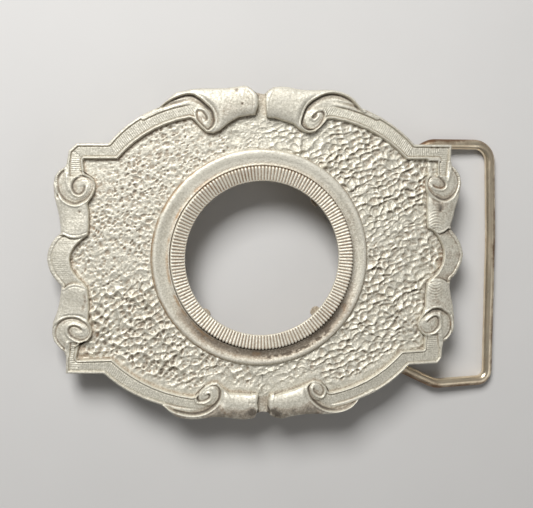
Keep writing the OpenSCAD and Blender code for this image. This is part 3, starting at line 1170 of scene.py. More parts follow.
    def _volute(self) -> None:
        """The side volute: a disc cut off where the strap comes in, with its spiral and the tail line."""
        q, y = self.quarter, self.y
        gap = self._from(q.volute_eye)
        past_tail = ease(self.x - crossing(q.tail, y, upright=True), -0.1, 0.15)
        disc = ease(self.disc_r - gap, 0.0, 0.7) * ease(y, 11.8, 12.6)
        disc = disc * np.maximum(ease(self.disc_top - y, 0.0, 0.35), past_tail)
        self._cover(self.disc_level - 0.10 * bell(gap, 1.0), disc)
        spiral = measure(self.xy, fair(q.volute))
        self._line(spiral, -spiral.signed)
        end = measure(self.xy, fair(q.tail))
        self.height += 0.24 * bell(end.distance, 0.32) * ease(end.along, 2.0, 2.6)

    def _roll(self) -> None:
        """The roll at the notch, its scroll and its mouth.

        Across the roll the height is an arch from the field's edge to the outline. Its edge is the
        scroll line up to its lowest point: the roll lies above the line's rising part and beside its
        falling part.
        """
        q, x, y = self.quarter, self.x, self.y
        top = crossing([p for p in (q.shoulder,) + q.roll_outline if p[0] > 2.4], x)
        foot = crossing([p for p in q.roll_field if p[0] > 2.4], x)
        share = held((y - foot) / (top - foot))
        flare = 1.0 - 0.08 * bell(x - 6.0, 3.0)
        dome = (self.roll_foot + self.roll_rise * arched(share)) * flare
        line = fair(q.roll)
        crest, turn = int(np.argmax(line[:, 1])), int(np.argmin(line[:, 1]))
        beside = x < crossing(line[crest : turn + 1], y, upright=True)
        above = (y > crossing(line[: crest + 1], x)) & (x > line[crest, 0])
        reach = measure(self.xy, line[: turn + 1]).distance
        beyond = np.where(beside | above, reach, -reach)
        dome = blend(dome, np.minimum(dome, 1.16), 0.95 * bell(beyond, 0.8))
        gap = self._from(q.roll_eye)
        self._cover(self.eye_level - 0.08 * bell(gap, 0.8), ease(self.eye_r - gap, 0.0, 0.6))
        on_roll = ease(beyond, -0.15, 0.15) * ease(24.0 - x, 0.0, 1.0) * ease(y, 24.0, 26.0)
        self._cover(dome, on_roll)
        # Painted shade: the lower rolls darken unevenly towards the outline, on their lower side, and the
        # upper left roll is darkened all over.
        blotch = 0.62 + uneven(self.xy, (0.20, 5, 1.4), (0.16, 2, 0.6))
        shaded = blotch * ease(share, 0.38, 0.85) * (q.side_y < 0) + 0.20 * (q.side_y > 0) * (q.side_x < 0)
        self.stain_and_shade = blend(self.stain_and_shade, shaded, on_roll)
        near = measure(self.xy, line)
        self._line(near, near.signed)
        past = crossing(q.roll_lip, y, upright=True) - x
        at_mouth = ease(y, 27.0, 28.5) * ease(9.0 - x, 0.0, 1.0)
        self.height -= at_mouth * self.mouth_drop * rounded(held(1.0 + past / self.mouth_round))
        self.height -= at_mouth * 0.035 * bell(past + 1.15, 0.2)
        self._cover(self.mouth_floor, at_mouth * ease(past, -0.05, 0.25))
        # Painted shade on the mouth's floor in the notch.
        self.stain_and_shade += at_mouth * 0.15 * ease(past, -0.05, 0.4)
        self.inner = np.where(x < 2.6, y - foot, self.inner)

    def _scars(self) -> None:
        """Pits and stains, each a bell."""
        for x, y, size, depth, dark in self.quarter.scars:
            spot = bell(self._from((x, y)), size)
            self.height -= depth * spot
            self.stain_and_shade += dark * spot

    def _edges(self) -> None:
        """Casts the surface unevenly, rounds the outer edge and drops the wall to the field."""
        rough = uneven(self.xy, (0.03, 7, 2.1), (0.02, 6, 0.7))
        self.height += rough * (1.0 + 1.5 * bell(self.outer, 0.8))
        self.height -= self.edge_round * rounded(held(1.0 - self.outer / self.edge_round))
        self._cover(self.wall_foot, 1.0 - ease(self.inner, 0.0, self.wall_width), self.hatch)
        # Painted shade on the wall down to the field.
        self.stain_and_shade += 0.27 * ease(0.42 - self.inner, 0.0, 0.25)


@dataclass(frozen=True)
class Border:
    """The scrollwork border, in four castings that meet at the lobes and end at the notches."""

    rows: int = 66
    columns: int = 640
    walls: tuple[float, ...] = (-0.6, -1.2, -1.75)
    least_width: float = 0.15
    overlap: int = 120

    def build(self, rim: Rim, look: Look) -> None:
        """Makes the four pieces.

        Args:
            rim: the plate's edges.
            look: their material.
        """
        for quarter in QUARTERS:
            make_piece("border_" + quarter.name, self._shell(rim, quarter), look, Part.PLATE, 65.0)

    def _shell(self, rim: Rim, quarter: Quarter) -> Shell:
        """One quarter: relief rows from the inner edge to the outline, then the wall and the back.

        Args:
            rim: the plate's edges.
            quarter: the quarter.

        Returns:
            The closed shell.
        """
        start = 90.0 * QUARTERS.index(quarter)
        angle = rim.spaced(math.radians(start), math.radians(start + 90.0), self.columns)
        angle = angle[rim.outer_radius(angle) - rim.inner_radius(angle) > self.least_width]
        r_in, r_out = rim.inner_radius(angle), rim.outer_radius(angle)
        u = np.linspace(0.0, 1.0, self.rows)[:, None]
        share = 0.6 * u + 0.4 * (0.5 - 0.5 * np.cos(math.pi * u))
        xy = polar(r_in + share * (r_out - r_in), angle)
        own = xy * np.array([quarter.side_x, quarter.side_y])
        gaps = []
        for line in (quarter.field_edge(), quarter.outline()):
            beyond = line[1 : self.overlap][::-1] * np.array([1, -1])
            gaps.append(measure(own, np.vstack([beyond, line])[::8]).distance)
        relief = Relief(quarter, own, *gaps)
        height = relief.height
        grid = slab(xy, height, self.walls)
        fine, broad = softened(height, 2), softened(height, 7)
        # Darker where the surface lies below its surroundings: patina in the hollows and painted shade; the
        # relief adds painted shade in furrows and on walls.
        tarnish_and_shade = 0.06 + (1.6 * (fine - height) + 0.5 * (broad - height)) + relief.stain_and_shade
        # Brighter on ridges: rubbing, and painted highlight on the thin lines.
        wear_and_sheen = 0.38 + 1.4 * (height - broad) + 5.0 * (height - fine)
        rows = len(grid)
        marks = cast_marks(
            grid, padded(np.clip(tarnish_and_shade, 0.0, 0.9), rows, 0.25), padded(held(wear_and_sheen), rows, 0.25),
            along=padded(relief.run(), rows, 0.0), hatch=padded(relief.hatch, rows, 0.0),
        )
        return ring_shell(grid, marks, loop=False)


@dataclass(frozen=True)
class HammeredField:
    """The sunk hammered ground between the border and the ring moulding, in a left and a right half."""

    inner_r: float = 23.9
    rows: int = 140
    columns: int = 640
    walls: tuple[float, ...] = (-0.6, -1.7)
    tuck: float = 0.35
    knee: float = 0.24
    fold: Pair = (-6.2, 27.3)
    small: Dents = Dents(turn=40.0, length=1.06, width=0.90, gentle=0.8, seed=25, jitter=1.0)
    large: Dents = Dents(turn=15.0, length=1.9, width=1.6, gentle=1.3, seed=21, jitter=1.0)
    dimples: Dents = Dents(
        turn=42.0, length=1.60, width=1.28, gentle=1.0, seed=22,
        steep=1.7, arch=0.1, jitter=0.85, lift=0.18,
    )
    gouges: Dents = Dents(turn=20.0, length=1.6, width=1.22, gentle=0.65, seed=23, steep=4.5, arch=0.35)
    blobs: Dents = Dents(turn=22.0, length=1.5, width=1.3, gentle=0.85, seed=24, steep=3.6, arch=0.3)

    def build(self, rim: Rim, look: Look) -> None:
        """Makes both halves.

        Args:
            rim: the plate's edges.
            look: their material.
        """
        for name, start in (("field_left", 90.0), ("field_right", -90.0)):
            angle = rim.spaced(math.radians(start), math.radians(start + 180.0), self.columns)
            make_piece(name, self._shell(rim, angle), look, Part.PLATE, 70.0)

    def _relief(self, xy: Array) -> tuple[Array, Array]:
        """Height of the hammered ground, before it is calmed.

        It has separate pits at the upper left, dimples at the lower left, gouges at the upper right and
        blobs at the lower right. They are blended along the middle lines, with each one's mean taken
        off, and what stands above the knee is halved.

        Args:
            xy: points.

        Returns:
            The height of each point above the bowed face, and how deep it lies in a pit, 0 to 1.
        """
        x, y = xy[..., 0], xy[..., 1]
        drift, stir = sway(xy, (11, 12), 3.0), sway(xy, (13, 26), 1.3)
        at = xy + 0.45 * drift + 0.28 * stir
        near = xy + 0.30 * drift + 0.24 * stir + 0.05 * sway(xy, (27, 28), 0.5)
        lumps = 0.5 - np.abs(Grain(19).waves(at, 0.65)) + 0.6 * (0.5 - np.abs(Grain(20).waves(at, 0.42)))
        small = self.small.pits(near)
        pits = np.maximum(small, 0.9 * self.large.pits(near))
        pitted = 0.018 * lumps - 0.27 * pits
        dimples = 1.55 * self.dimples.height(near) ** 1.6 + 0.04 * lumps - 0.20 * small
        gouges = 1.28 * self.gouges.height(at) ** 1.3 + 0.10 * lumps
        blobs = 1.14 * self.blobs.height(at) ** 1.3 + 0.10 * lumps
        left, upper = ease(-x, -4.0, 4.0), ease(y - 0.15 * x, -6.0, 6.0)
        value = blend(blend(blobs, gouges, upper), blend(dimples, pitted, upper), left)
        value = value - blend(0.25, blend(0.17, 0.0, upper), left)
        return np.where(value > self.knee, self.knee + 0.5 * (value - self.knee), value), pits * left

    def _shell(self, rim: Rim, angle: Array) -> Shell:
        """Relief rows from the moulding out under the border, then the wall and the back.

        Args:
            rim: the plate's edges.
            angle: the columns' angles.

        Returns:
            The closed shell.
        """
        reach = np.minimum(rim.inner_radius(angle) + self.tuck, rim.outer_radius(angle))
        radius = self.inner_r + np.linspace(0.0, 1.0, self.rows)[:, None] * (reach - self.inner_r)
        xy = polar(radius, angle)
        x, y = xy[..., 0], xy[..., 1]
        off_x, off_y = x - self.fold[0], y - self.fold[1]
        edge = np.minimum(rim.inner_radius(angle), 45.0) - radius
        foot = radius - Moulding.foot_r - Moulding.shift(angle)
        notch = ease(2.2 - np.abs(x), 0.0, 1.4) * ease(np.abs(y), 31.0, 32.5)
        corner = ease(np.abs(x) + 0.9 * np.abs(y), 42.0, 60.0) * ease(y, 0.0, 10.0) * ease(-x, 0.0, 10.0)
        margin = ease(-y, 21.0, 24.0) * (1.0 - ease(edge + 0.5 * Grain(14).waves(xy, 1.6), 0.7, 2.6))
        calm = math.prod([
            1.0 - 0.65 * bell(np.hypot((x - 24.0) / 2.2, (y - 14.5) / 2.6), 1.0),
            1.0 - 0.7 * bell(np.hypot(off_x / 1.6, off_y / 1.5), 1.0),
            1.0 - 0.42 * ease(np.abs(y), 22.0, 27.0) * ease(18.0 - np.abs(x), 0.0, 5.0),
            1.0 - 0.55 * corner,
            1.0 - notch,
            0.35 + 0.65 * ease(foot, 0.0, 0.8),
            0.5 + 0.5 * ease(edge, 0.1, 0.9),
            1.0 - 0.8 * margin,
        ])
        height, pits = self._relief(xy)
        height = height * calm * (1.0 + 0.30 * Grain(15).waves(xy, 4.0))
        height = height - 0.28 * np.maximum(0.0, 1.0 - np.hypot(off_x, off_y) ** 2 / 2.4)
        gritty = 0.012 + 0.014 * ease(-x, 10.0, 26.0) * ease(-y, -12.0, 4.0)
        height = height + 0.03 * Grain(16).waves(xy, 1.7) + gritty * Grain(17).waves(xy, 0.45)
        height = height + 0.14 * margin
        grid = slab(xy, height, self.walls)
        # Darker and less bright in the dents: patina in them and painted shade.
        hollow = 3.0 * (softened(height, 1) - height) + 1.7 * (softened(height, 4) - height)
        near = np.maximum(edge, 0.0)
        # Painted shade along the foot of the border's wall, along the moulding's foot and in the notch.
        crevice_shade = 0.30 * bell(near, 0.35) + 0.35 * bell(foot, 0.25) + 0.35 * notch
        # Random tone, plus painted shadow in the pits on the left.
        cloud = 0.10 * Grain(18).waves(xy, 9.0) + 0.24 * pits * calm
        warm = 0.08 * pits * calm + 0.2 * bell(near, 0.4) * ease(-x, 0.0, 10.0)
        rows = len(grid)
        marks = cast_marks(
            grid, padded(held(0.06 + hollow + crevice_shade + cloud), rows, 0.3),
            padded(held(0.4 - 1.2 * hollow), rows, 0.2), padded(warm, rows, 0.0),
        )
        return ring_shell(grid, marks, loop=False)


@dataclass(frozen=True)
class Moulding:
    """The gutter moulding round the window, part of the plate's casting."""

    count: int = 720
    inner_r: float = 20.95
    foot_r: float = 25.1
    filled: float = 0.52
    profile: Table = (
        (20.95, -1.6), (20.95, -0.6), (20.95, 0.26), (21.02, 0.40), (21.15, 0.45), (21.3, 0.42),
        (21.45, 0.34), (21.6, 0.31), (22.0, 0.31), (22.4, 0.36), (22.8, 0.45), (23.0, 0.51), (23.2, 0.58),
        (23.55, 0.70), (23.85, 0.79), (24.1, 0.85), (24.35, 0.88), (24.6, 0.84), (24.8, 0.72),
        (24.95, 0.52), (25.08, 0.28), (25.2, 0.02), (25.3, -0.45), (25.3, -1.6),
    )

    @staticmethod
    def shift(angle: Array) -> Array:
        """How far the crest lies inwards of its place on the left, angles in radians."""
        return -0.65 * (1.0 - bell(math.pi - np.abs(np.arctan2(np.sin(angle), np.cos(angle))), 1.2))

    def build(self, look: Look) -> None:
        """Makes the ring: the profile turned round the window, with cast waves and a cracked crest.

        The gutter is half filled at the top.

        Args:
            look: its material.
        """
        grid = turned(self.profile, self.count)
        xy, level = grid[..., :2].copy(), grid[..., 2].copy()
        x, y = xy[..., 0], xy[..., 1]
        turn, radius = np.arctan2(y, x), np.hypot(x, y)
        angle = np.degrees(turn)
        moved = 1.0 + self.shift(turn) * ease(radius, 22.0, 23.8) / radius
        grid[..., :2] = xy * moved[..., None]
        shown = ease(level, -0.5, 0.0)
        noise = uneven(xy, (0.035, 31, 3.0), (0.02, 32, 0.8))
        crack = bell(radius - 23.2, 0.42) * ease(angle, -92.0, -84.0) * ease(-angle, 44.0, 52.0)
        crack = crack * ease(uneven(xy, (1.0, 33, 0.8), (0.5, 34, 0.35)), -0.15, 0.25)
        flat = 0.55 * ease(y, 8.0, 19.0) * ease(radius, 21.4, 22.0) * (1.0 - ease(radius, 24.9, 25.3))
        level = blend(level, self.filled, flat)
        grid[..., 2] = level - DATUM.sag(grid[..., 0]) + shown * noise - 0.22 * crack
        left, low = ease(-x, 6.0, 16.0), ease(-y, 4.0, 18.0)
        broken = ease(Grain(35).waves(np.stack([turn * 24.0, radius], axis=-1), 1.6), -0.7, 0.7)
        tarnish_and_shade = 0.04 + 0.5 * bell(radius - self.inner_r, 0.12) + 1.25 * crack
        # Darker in the gutter towards the bottom.
        tarnish_and_shade += 0.70 * low * bell(radius - 22.1, 1.5)
        tarnish_and_shade += left * 0.30 * bell(radius - 21.45, 0.14) * broken
        # Painted shade along the foot, with a broken brown line on the left.
        tarnish_and_shade += (0.30 + 0.4 * left * broken) * bell(radius - self.foot_r, 0.2)
        # Painted shade growing towards the right side; a darker band lies next to the ring.
        tarnish_and_shade += 0.16 * ease(x, 8.0, 20.0) + 0.10 * bell(radius - 21.6, 0.9)
        warm = left * broken * (0.9 * bell(radius - 21.5, 0.2) + 0.8 * bell(radius - 24.95, 0.25))
        warm += 0.10 * low + 0.18 * ease(y, 8.0, 18.0) * bell(radius - 21.3, 0.5)
        wear_and_sheen = 0.40 + 0.5 * bell(radius - 24.4, 0.4) + 0.3 * bell(radius - 21.15, 0.15)
        # Painted highlight across the gutter at the top.
        wear_and_sheen += 0.5 * ease(y, 10.0, 18.0) * ease(radius, 21.4, 22.2)
        shell = ring_shell(grid, cast_marks(grid, held(tarnish_and_shade), held(wear_and_sheen), held(warm)))
        make_piece("ring_moulding", shell, look, Part.PLATE)


@dataclass(frozen=True)
class Back:
    """The plate's back: a bored sheet with a plain raised margin and cast unevenness."""

    bore_r: float = 20.95
    inset: float = 0.12
    top: float = -1.6
    level: float = -2.0
    hollow: float = 0.14
    rows: int = 30
    columns: int = 700

    def build(self, rim: Rim, look: Look) -> None:
        """Makes the sheet: its margin keeps the plate's full thickness and the middle is a little hollow.

        Args:
            rim: the plate's edges.
            look: its material.
        """
        angle = rim.spaced(0.0, math.tau, self.columns + 1)[:-1]
        outer = rim.outer_radius(angle) - self.inset
        share = np.concatenate([[0.0, 1.0], np.linspace(1.0, 0.0, self.rows)])
        radius = self.bore_r + share[:, None] * (outer - self.bore_r)
        xy = polar(radius, angle)
        rim_gap, bore_gap = outer - radius, radius - self.bore_r
        hollow = self.hollow * ease(rim_gap, 1.4, 2.4) * ease(bore_gap, 1.0, 1.8)
        level = self.level + hollow + 0.03 * Grain(41).waves(xy, 4.0) * ease(rim_gap, 0.2, 1.5)
        level = level + 0.25 * bell(rim_gap, 0.22)
        level[:2] = self.top
        grid = DATUM.drape(xy, level)
        margin = bell(rim_gap - 1.9, 0.4) + bell(bore_gap - 1.4, 0.3)
        marks = cast_marks(grid, held(0.30 + 0.35 * margin), 0.25 + 0.3 * ease(1.2 - rim_gap, 0.0, 1.0))
        make_piece("plate_back", ring_shell(grid, marks), look, Part.PLATE)


@dataclass(frozen=True)
class Ears:
    """The two hinge ears behind the plate, with the bores that the wire turns in."""

    x: float = 28.0
    bore_z: float = -6.4
    bore_r: float = 1.25
    bore_up: float = 3.6
    middles: Pair = (14.5, -14.5)
    half: float = 1.7
    sides: Table = ((-2.6, 0.0), (2.6, 0.0), (3.5, 2.4), (3.5, 7.6), (-3.5, 7.6), (-3.5, 2.4), (-2.6, 0.0))
    section: Table = (
        (0.0, 0.86), (0.06, 1.0), (0.35, 1.0), (0.7, 1.0), (0.93, 1.0), (0.985, 0.94), (1.0, 0.82),
        (1.0, 0.4),
    )

    def build(self, look: Look) -> None:
        """Makes both ears: the side shape as radii round the bore, carried over a rounded thickness.

        The section gives, for one face, shares of the way from bore to side and of half the thickness.

        Args:
            look: their material.
        """
        line = densify(np.array(self.sides) - np.array([0.0, self.bore_up]), 0.02)[:-1]
        turn = np.arctan2(line[:, 1], line[:, 0])
        order = np.argsort(turn)
        angle = np.linspace(-math.pi, math.pi, 181)[:-1]
        reach = np.interp(angle, turn[order], np.hypot(*line[order].T), period=math.tau)
        soft = (np.roll(reach, 1) + reach + np.roll(reach, -1)) / 3.0
        face = np.array(self.section)
        out, over = np.vstack([face * [1, -1], face[::-1], [(0.0, 0.3), (0.0, -0.3)]]).T[..., None]
        shells = []
        for seed, middle in enumerate(self.middles):
            radius = self.bore_r + out * (soft - self.bore_r)
            xz = polar(radius, angle) + np.array([self.x, self.bore_z])
            wavy = Grain(51 + seed).waves(xz, 1.5)
            wavy = 0.04 * wavy * np.abs(over) * ease(radius - self.bore_r, 0.2, 0.8)
            y = middle + over * self.half + wavy
            grid = np.stack([xz[..., 0], y, xz[..., 1]], axis=-1)
            tarnish_and_shade = 0.3 + 0.6 * bell(radius - self.bore_r, 0.35) + 0.3 * ease(xz[..., 1], -3.5, -2.8)
            wear_and_sheen = 0.25 + 0.5 * bell(1.0 - out, 0.12)
            shells.append(ring_shell(grid, cast_marks(grid, held(tarnish_and_shade), wear_and_sheen)))
        make_piece("hinge_ears", join_shells(shells), look, Part.PLATE, 50.0)


@dataclass(frozen=True)
class BeltPost:
    """The post that goes through the belt's holes, and the pad on the plate that it is set in."""

    x: float = -38.0
    pad: Table = (
        (1.45, -3.4), (4.2, -3.4), (4.2, -4.35), (4.12, -4.58), (3.95, -4.69), (3.0, -4.70), (1.7, -4.70),
        (1.45, -4.62),
    )
    shaft: Table = (
        (1.40, -3.2), (1.40, -4.4), (1.5, -4.72), (3.0, -4.72), (3.17, -4.78), (3.2, -4.95), (3.2, -5.2),
        (3.14, -5.35), (3.0, -5.4), (2.4, -5.42), (2.12, -5.5), (2.0, -5.7), (1.98, -6.4), (1.98, -7.2),
        (2.0, -8.0), (1.95, -8.5), (1.75, -8.9), (1.35, -9.12), (0.8, -9.2),
    )

    def build(self, cast: Look, metal: Look) -> None:
        """Makes the pad and the turned post, which gets two more points in each span of its profile.

        Args:
            cast: the pad's material.
            metal: the post's material.
        """
        grid = turned(self.pad, 96, (self.x, 0.0))
        make_piece("post_pad", ring_shell(grid, cast_marks(grid, 0.35, 0.3)), cast, Part.PLATE, 50.0)
        base = np.array(self.shaft)
        share = np.linspace(0.0, 1.0, 4)[:-1, None]
        spans = base[:-1, None] + share * (base[1:, None] - base[:-1, None])
        profile = np.vstack([spans.reshape(-1, 2), base[-1:]])
        grid = turned(profile, 72, (self.x, 0.0)).transpose(1, 0, 2)[::-1]
        reach = lengths(profile)
        marks = {"along": np.tile(reach, (len(grid), 1))}
        shell = ring_shell(grid, marks, loop=False, ends=(0.0, reach[-1] + profile[-1, 0]))
        make_piece("turned_post", shell, metal, Part.POST, 50.0)


@dataclass(frozen=True)
class CoinBezel:
    """The ring for the coin: a lip, radial reeding, an outer rim, the seat behind it and four bent tabs."""

    teeth: int = 166
    per_tooth: int = 8
    tooth: float = 0.20
    profile: Table = (
        (20.88, 0.1), (20.88, 0.6), (20.86, 0.85), (20.82, 1.0), (20.74, 1.12), (20.6, 1.2), (20.4, 1.22),
        (20.1, 1.18), (19.7, 1.12), (19.3, 1.06), (18.9, 1.0), (18.5, 0.94), (18.2, 0.89), (17.95, 0.85),
        (17.76, 0.80), (17.64, 0.74), (17.55, 0.64), (17.5, 0.50), (17.5, 0.25), (17.55, 0.05), (17.7, 0.0),
        (18.5, 0.0), (19.2, 0.0), (19.2, -1.2), (19.2, -2.5), (19.28, -2.58), (19.4, -2.6), (20.7, -2.6),
        (20.82, -2.56), (20.88, -2.45), (20.88, -1.2),
    )
    tab_angles: tuple[float, ...] = (45.0, 135.0, 225.0, 315.0)
    tab_root: float = 19.9
    tab_reach: float = 2.8
    tab_level: float = -2.75
    tab_bow: float = 0.25
    tab_half: Pair = (1.2, 0.33)

    def build(self, look: Look) -> None:
        """Makes the reeded ring and the four tabs.

        The reeding cuts tooth times 1 minus a comb, |sin| of half the teeth's angle, from the top and
        from the ring's outer edge. On the left a thin plain rim is left outside it.

        Args:
            look: their material.
        """
        count = self.teeth * self.per_tooth
        grid = turned(np.array(self.profile)[::-1], count)
        radius = np.hypot(grid[..., 0], grid[..., 1])
        angle = np.arctan2(grid[..., 1], grid[..., 0])
        at = np.stack([angle * 20.0, radius], axis=-1)
        wander = uneven(at, (0.14, 61, 6.0), (0.07, 62, 1.4))
        comb = np.abs(np.sin(angle * self.teeth / 2.0 + wander)) ** 1.1
        on_top = (grid[..., 2] > 0.3).astype(float)
        plain = ease(-np.cos(angle), 0.55, 0.8)
        reeded = on_top * ease(radius, 17.58, 17.80) * (1.0 - plain * ease(radius, 20.52, 20.66))
        depth = self.tooth * (1.0 + 0.35 * Grain(63).waves(at, 2.5))
        grid[..., 2] -= reeded * depth * (1.0 - comb)
        grid[..., 2] += on_top * 0.02 * Grain(64).waves(at, 1.1)
        edge = reeded * ease(radius, 20.5, 20.8) * (1.0 - comb)
        grid[..., :2] *= (1.0 - 0.010 * edge)[..., None]
        # Painted shade between the teeth and at their outer ends, and on the outer wall under the rim's
        # top; the walls and underside are darker too.
        tooth_gap_shade = reeded * (1.0 - comb) ** 1.2
        under = ease(0.9 - grid[..., 2], 0.0, 0.5) * ease(radius, 20.6, 20.8)
        tarnish_and_shade = 0.04 + 0.85 * tooth_gap_shade + 0.4 * edge + 0.35 * (1.0 - on_top) + 0.5 * under
        # Painted highlight along the plain rim on the left; the tops of the teeth are rubbed bright.
        wear_and_sheen = 0.35 + 0.6 * reeded * comb + 0.5 * on_top * plain * bell(radius - 20.7, 0.12)
        shell = ring_shell(grid, cast_marks(grid, held(tarnish_and_shade), held(wear_and_sheen)))
        make_piece("reeded_bezel", shell, look, Part.BEZEL, 70.0)
        tabs = join_shells([self._tab(math.radians(degrees)) for degrees in self.tab_angles])
        make_piece("coin_tabs", tabs, look, Part.BEZEL, 50.0)

    def _tab(self, angle: float) -> Shell:
        """One bent tab: a flat strip that leaves the seat's rim and bows in over the coin.

        Args:
            angle: where it stands on the ring.

        Returns:
            Its closed shell: a rounded cross-section carried inwards, with a round end.
        """
        way = np.linspace(0.0, 1.0, 15)
        radius = self.tab_root - self.tab_reach * way
        level = self.tab_level - self.tab_bow * np.sin(math.pi * way * 0.9)
        end = np.sqrt(np.clip(1.0 - (np.maximum(way - 0.72, 0.0) / 0.30) ** 2, 0.02, 1.0))
        turn = np.linspace(0.0, math.tau, 25)[:-1, None]
        across = np.sign(np.cos(turn)) * np.abs(np.cos(turn)) ** 0.35 * (self.tab_half[0] * end)
        z = level + self.tab_half[1] * (np.sign(np.sin(turn)) * np.abs(np.sin(turn)) ** 0.6)
        x = radius * math.cos(angle) - across * math.sin(angle)
        y = radius * math.sin(angle) + across * math.cos(angle)
        grid = np.stack([x, y, z], axis=-1)[:, ::-1]
        return ring_shell(grid, cast_marks(grid, 0.45, 0.3), loop=False)


@dataclass(frozen=True)
class WireLoop:
    """The closed wire loop that the belt folds round. It turns in the ears."""

    pivot: Pair = (28.0, -6.4)
    wire_r: float = 1.2
    droop: float = math.asin((3.6 - 1.2) / 29.4)
    corners: tuple[tuple[float, float, float], ...] = (
        (0.0, 18.8, 2.2), (13.2, 26.1, 5.0), (28.6, 26.0, 4.2), (29.4, 4.0, 150.0), (29.4, -31.8, 2.6),
        (15.6, -32.1, 6.0), (0.0, -24.4, 2.2),
    )
    around: int = 28

    def path(self) -> Array:
        """The loop's middle line in its own plane, lines joined by arcs.

        At a corner of half angle h between its sides, the arc of radius r touches them r / tan(h) away.

        Returns:
            Points along and across, spaced 0.3 mm apart.
        """
        spots = np.array([c[:2] for c in self.corners])
        parts = []
        for here, back, ahead, (_, _, bend) in zip(
            spots, np.roll(spots, 1, axis=0), np.roll(spots, -1, axis=0), self.corners
        ):
            u = (back - here) / np.hypot(*(back - here))
            v = (ahead - here) / np.hypot(*(ahead - here))
            half = math.acos(float(np.clip(u @ v, -1.0, 1.0))) / 2.0
            centre = here + (u + v) / np.hypot(*(u + v)) * bend / math.sin(half)
            first = here + u * bend / math.tan(half) - centre
            last = here + v * bend / math.tan(half) - centre
            start = math.atan2(first[1], first[0])
            sweep = math.remainder(math.atan2(last[1], last[0]) - start, math.tau)
            parts.append(centre + polar(bend, start + sweep * np.linspace(0.0, 1.0, 25)))
        return densify(np.vstack(parts + [parts[0][:1]]), 0.3)[:-1]

    def build(self, look: Look) -> None:
        """Makes the wire: a circle carried along the path, square to it, slightly worn and wavy.

        Args:
            look: its material.
        """
        line = self.path()
        ahead = np.roll(line, -1, axis=0) - np.roll(line, 1, axis=0)
        ahead = ahead / np.hypot(*ahead.T)[:, None]
        normal = np.stack([ahead[:, 1], -ahead[:, 0]], axis=-1)
        turn = (np.arange(self.around)[::-1] * math.tau / self.around)[:, None]
        reach = lengths(line)
        at = np.stack(np.broadcast_arrays(turn * self.wire_r, reach), axis=-1)
        free = ease(line[:, 0], 1.5, 4.0)
        radius = self.wire_r + free * (uneven(at, (0.018, 71, 2.4), (0.01, 72, 0.7)) - 0.012)
        up = radius * np.sin(turn)
        flat = line + (radius * np.cos(turn))[..., None] * normal
        c, s = math.cos(self.droop), math.sin(self.droop)
        x = self.pivot[0] + flat[..., 0] * c + up * s
        z = self.pivot[1] - flat[..., 0] * s + up * c
        grid = np.stack([x, flat[..., 1], z], axis=-1)
        inside, low = 0.5 - 0.5 * np.cos(turn), 0.5 - 0.5 * np.sin(turn)
        # Rust brown on the inner side, painted shade on the underside, and random patches.
        tarnish_and_shade = 0.02 + 0.80 * inside ** 1.6 + 0.34 * low ** 2 + 0.15 * Grain(73).waves(at, 7.0)
        parts = {"tarnish_and_shade": held(tarnish_and_shade), "along": reach, "around": np.sin(turn * 0.5)}
        marks = {name: np.broadcast_to(value, grid.shape[:2]) for name, value in parts.items()}
        make_piece("wire_loop", ring_shell(grid, marks), look, Part.LOOP)


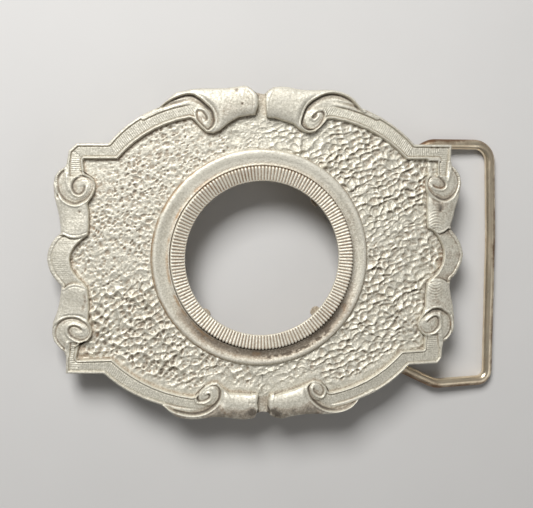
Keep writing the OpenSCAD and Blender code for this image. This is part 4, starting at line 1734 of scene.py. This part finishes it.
@dataclass(frozen=True)
class Studio:
    """Pale floor, soft lights and the camera that matches the photograph's view."""

    lean: tuple[float, float, float] = (-0.1315, 0.1015, 1.0)
    distance: float = 0.2
    focal_px: float = 882.2
    target_px: Pair = (262.4, 258.5)
    image: Pair = (533.0, 508.0)
    sensor: float = 36.0
    floor: Colour = rgba(0.62, 0.61, 0.595)
    floor_dim: Colour = rgba(0.58, 0.57, 0.555)
    floor_half: float = 0.9
    room: Colour = rgba(1.0, 0.98, 0.95)
    room_light: float = 0.14

    def build(self) -> None:
        """Sets up everything that isn't the buckle."""
        self._camera()
        self._light("key", (-0.14, 0.30, 0.36), size=0.20, power=2.9)
        self._light("fill", (0.32, -0.20, 0.30), size=0.30, power=0.25)
        self._world()
        self._floor()
        bpy.context.scene.view_settings.view_transform = "Standard"

    def _camera(self) -> None:
        """Looks at the window's centre from the lean direction, framed by a small shift."""
        target = Vector(DATUM.place(np.zeros(3)))
        back = Vector(self.lean).normalized()
        right = Vector((0.0, 1.0, 0.0)).cross(back).normalized()
        up = back.cross(right)
        data = bpy.data.cameras.new("camera")
        data.sensor_width = self.sensor
        data.lens = self.focal_px * self.sensor / self.image[0]
        data.shift_x = (self.image[0] / 2.0 - self.target_px[0]) / self.image[0]
        data.shift_y = (self.target_px[1] - self.image[1] / 2.0) / self.image[0]
        data.clip_start = 0.005
        camera = bpy.data.objects.new("camera", data)
        turn = Matrix((right, up, back)).transposed().to_4x4()
        camera.matrix_world = Matrix.Translation(target + back * self.distance) @ turn
        bpy.context.scene.collection.objects.link(camera)
        bpy.context.scene.camera = camera

    @staticmethod
    def _light(name: str, place: tuple[float, float, float], size: float, power: float) -> None:
        """A square soft light that looks at the middle of the buckle.

        Args:
            name: its name.
            place: where it hangs, in metres.
            size: its side.
            power: its power in watts.
        """
        data = bpy.data.lights.new(name, "AREA")
        data.size = size
        data.energy = power
        lamp = bpy.data.objects.new(name, data)
        lamp.location = place
        lamp.rotation_euler = (-Vector(place)).to_track_quat("-Z", "Y").to_euler()
        bpy.context.scene.collection.objects.link(lamp)

    def _world(self) -> None:
        """Even light from all round."""
        world = bpy.data.worlds.new("room")
        world.use_nodes = True
        shade = world.node_tree.nodes["Background"]
        shade.inputs["Color"].default_value = self.room
        shade.inputs["Strength"].default_value = self.room_light
        bpy.context.scene.world = world

    def _floor(self) -> None:
        """A plain pale sheet under the buckle."""
        mesh = bpy.data.meshes.new("floor")
        signs = ((-1, -1), (1, -1), (1, 1), (-1, 1))
        corners = [(self.floor_half * x, self.floor_half * y, 0.0) for x, y in signs]
        mesh.from_pydata(corners, [], [(0, 1, 2, 3)])
        g = Graph("floor_paper")
        colour = g.tint(self.floor, self.floor_dim, g.noise(g.spot(), 0.03, 3.0))
        mesh.materials.append(g.finish(colour, 0.0, 0.75))
        sheet = bpy.data.objects.new("floor", mesh)
        bpy.context.scene.collection.objects.link(sheet)
        sheet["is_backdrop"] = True


def main() -> None:
    """Builds every piece in order."""
    logging.basicConfig(level=logging.INFO, format="%(name)s %(message)s")
    Studio().build()
    pewter = CastPewter("cast_pewter").build()
    bezel = CastPewter("bezel_pewter", base=rgba(0.66, 0.60, 0.48), dark=rgba(0.22, 0.14, 0.09)).build()
    rim = Rim()
    HammeredField().build(rim, pewter)
    Border().build(rim, pewter)
    Moulding().build(pewter)
    Back().build(rim, pewter)
    Ears().build(pewter)
    BeltPost().build(pewter, TurnedMetal("post_metal").build())
    CoinBezel().build(bezel)
    WireLoop().build(DrawnWire("wire_metal").build())
    total = sum(len(p.data.loops) - 2 * len(p.data.polygons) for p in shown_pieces() if p.type == "MESH")
    LOG.info("%d triangles in all", total)


if __name__ == "__main__":
    main()
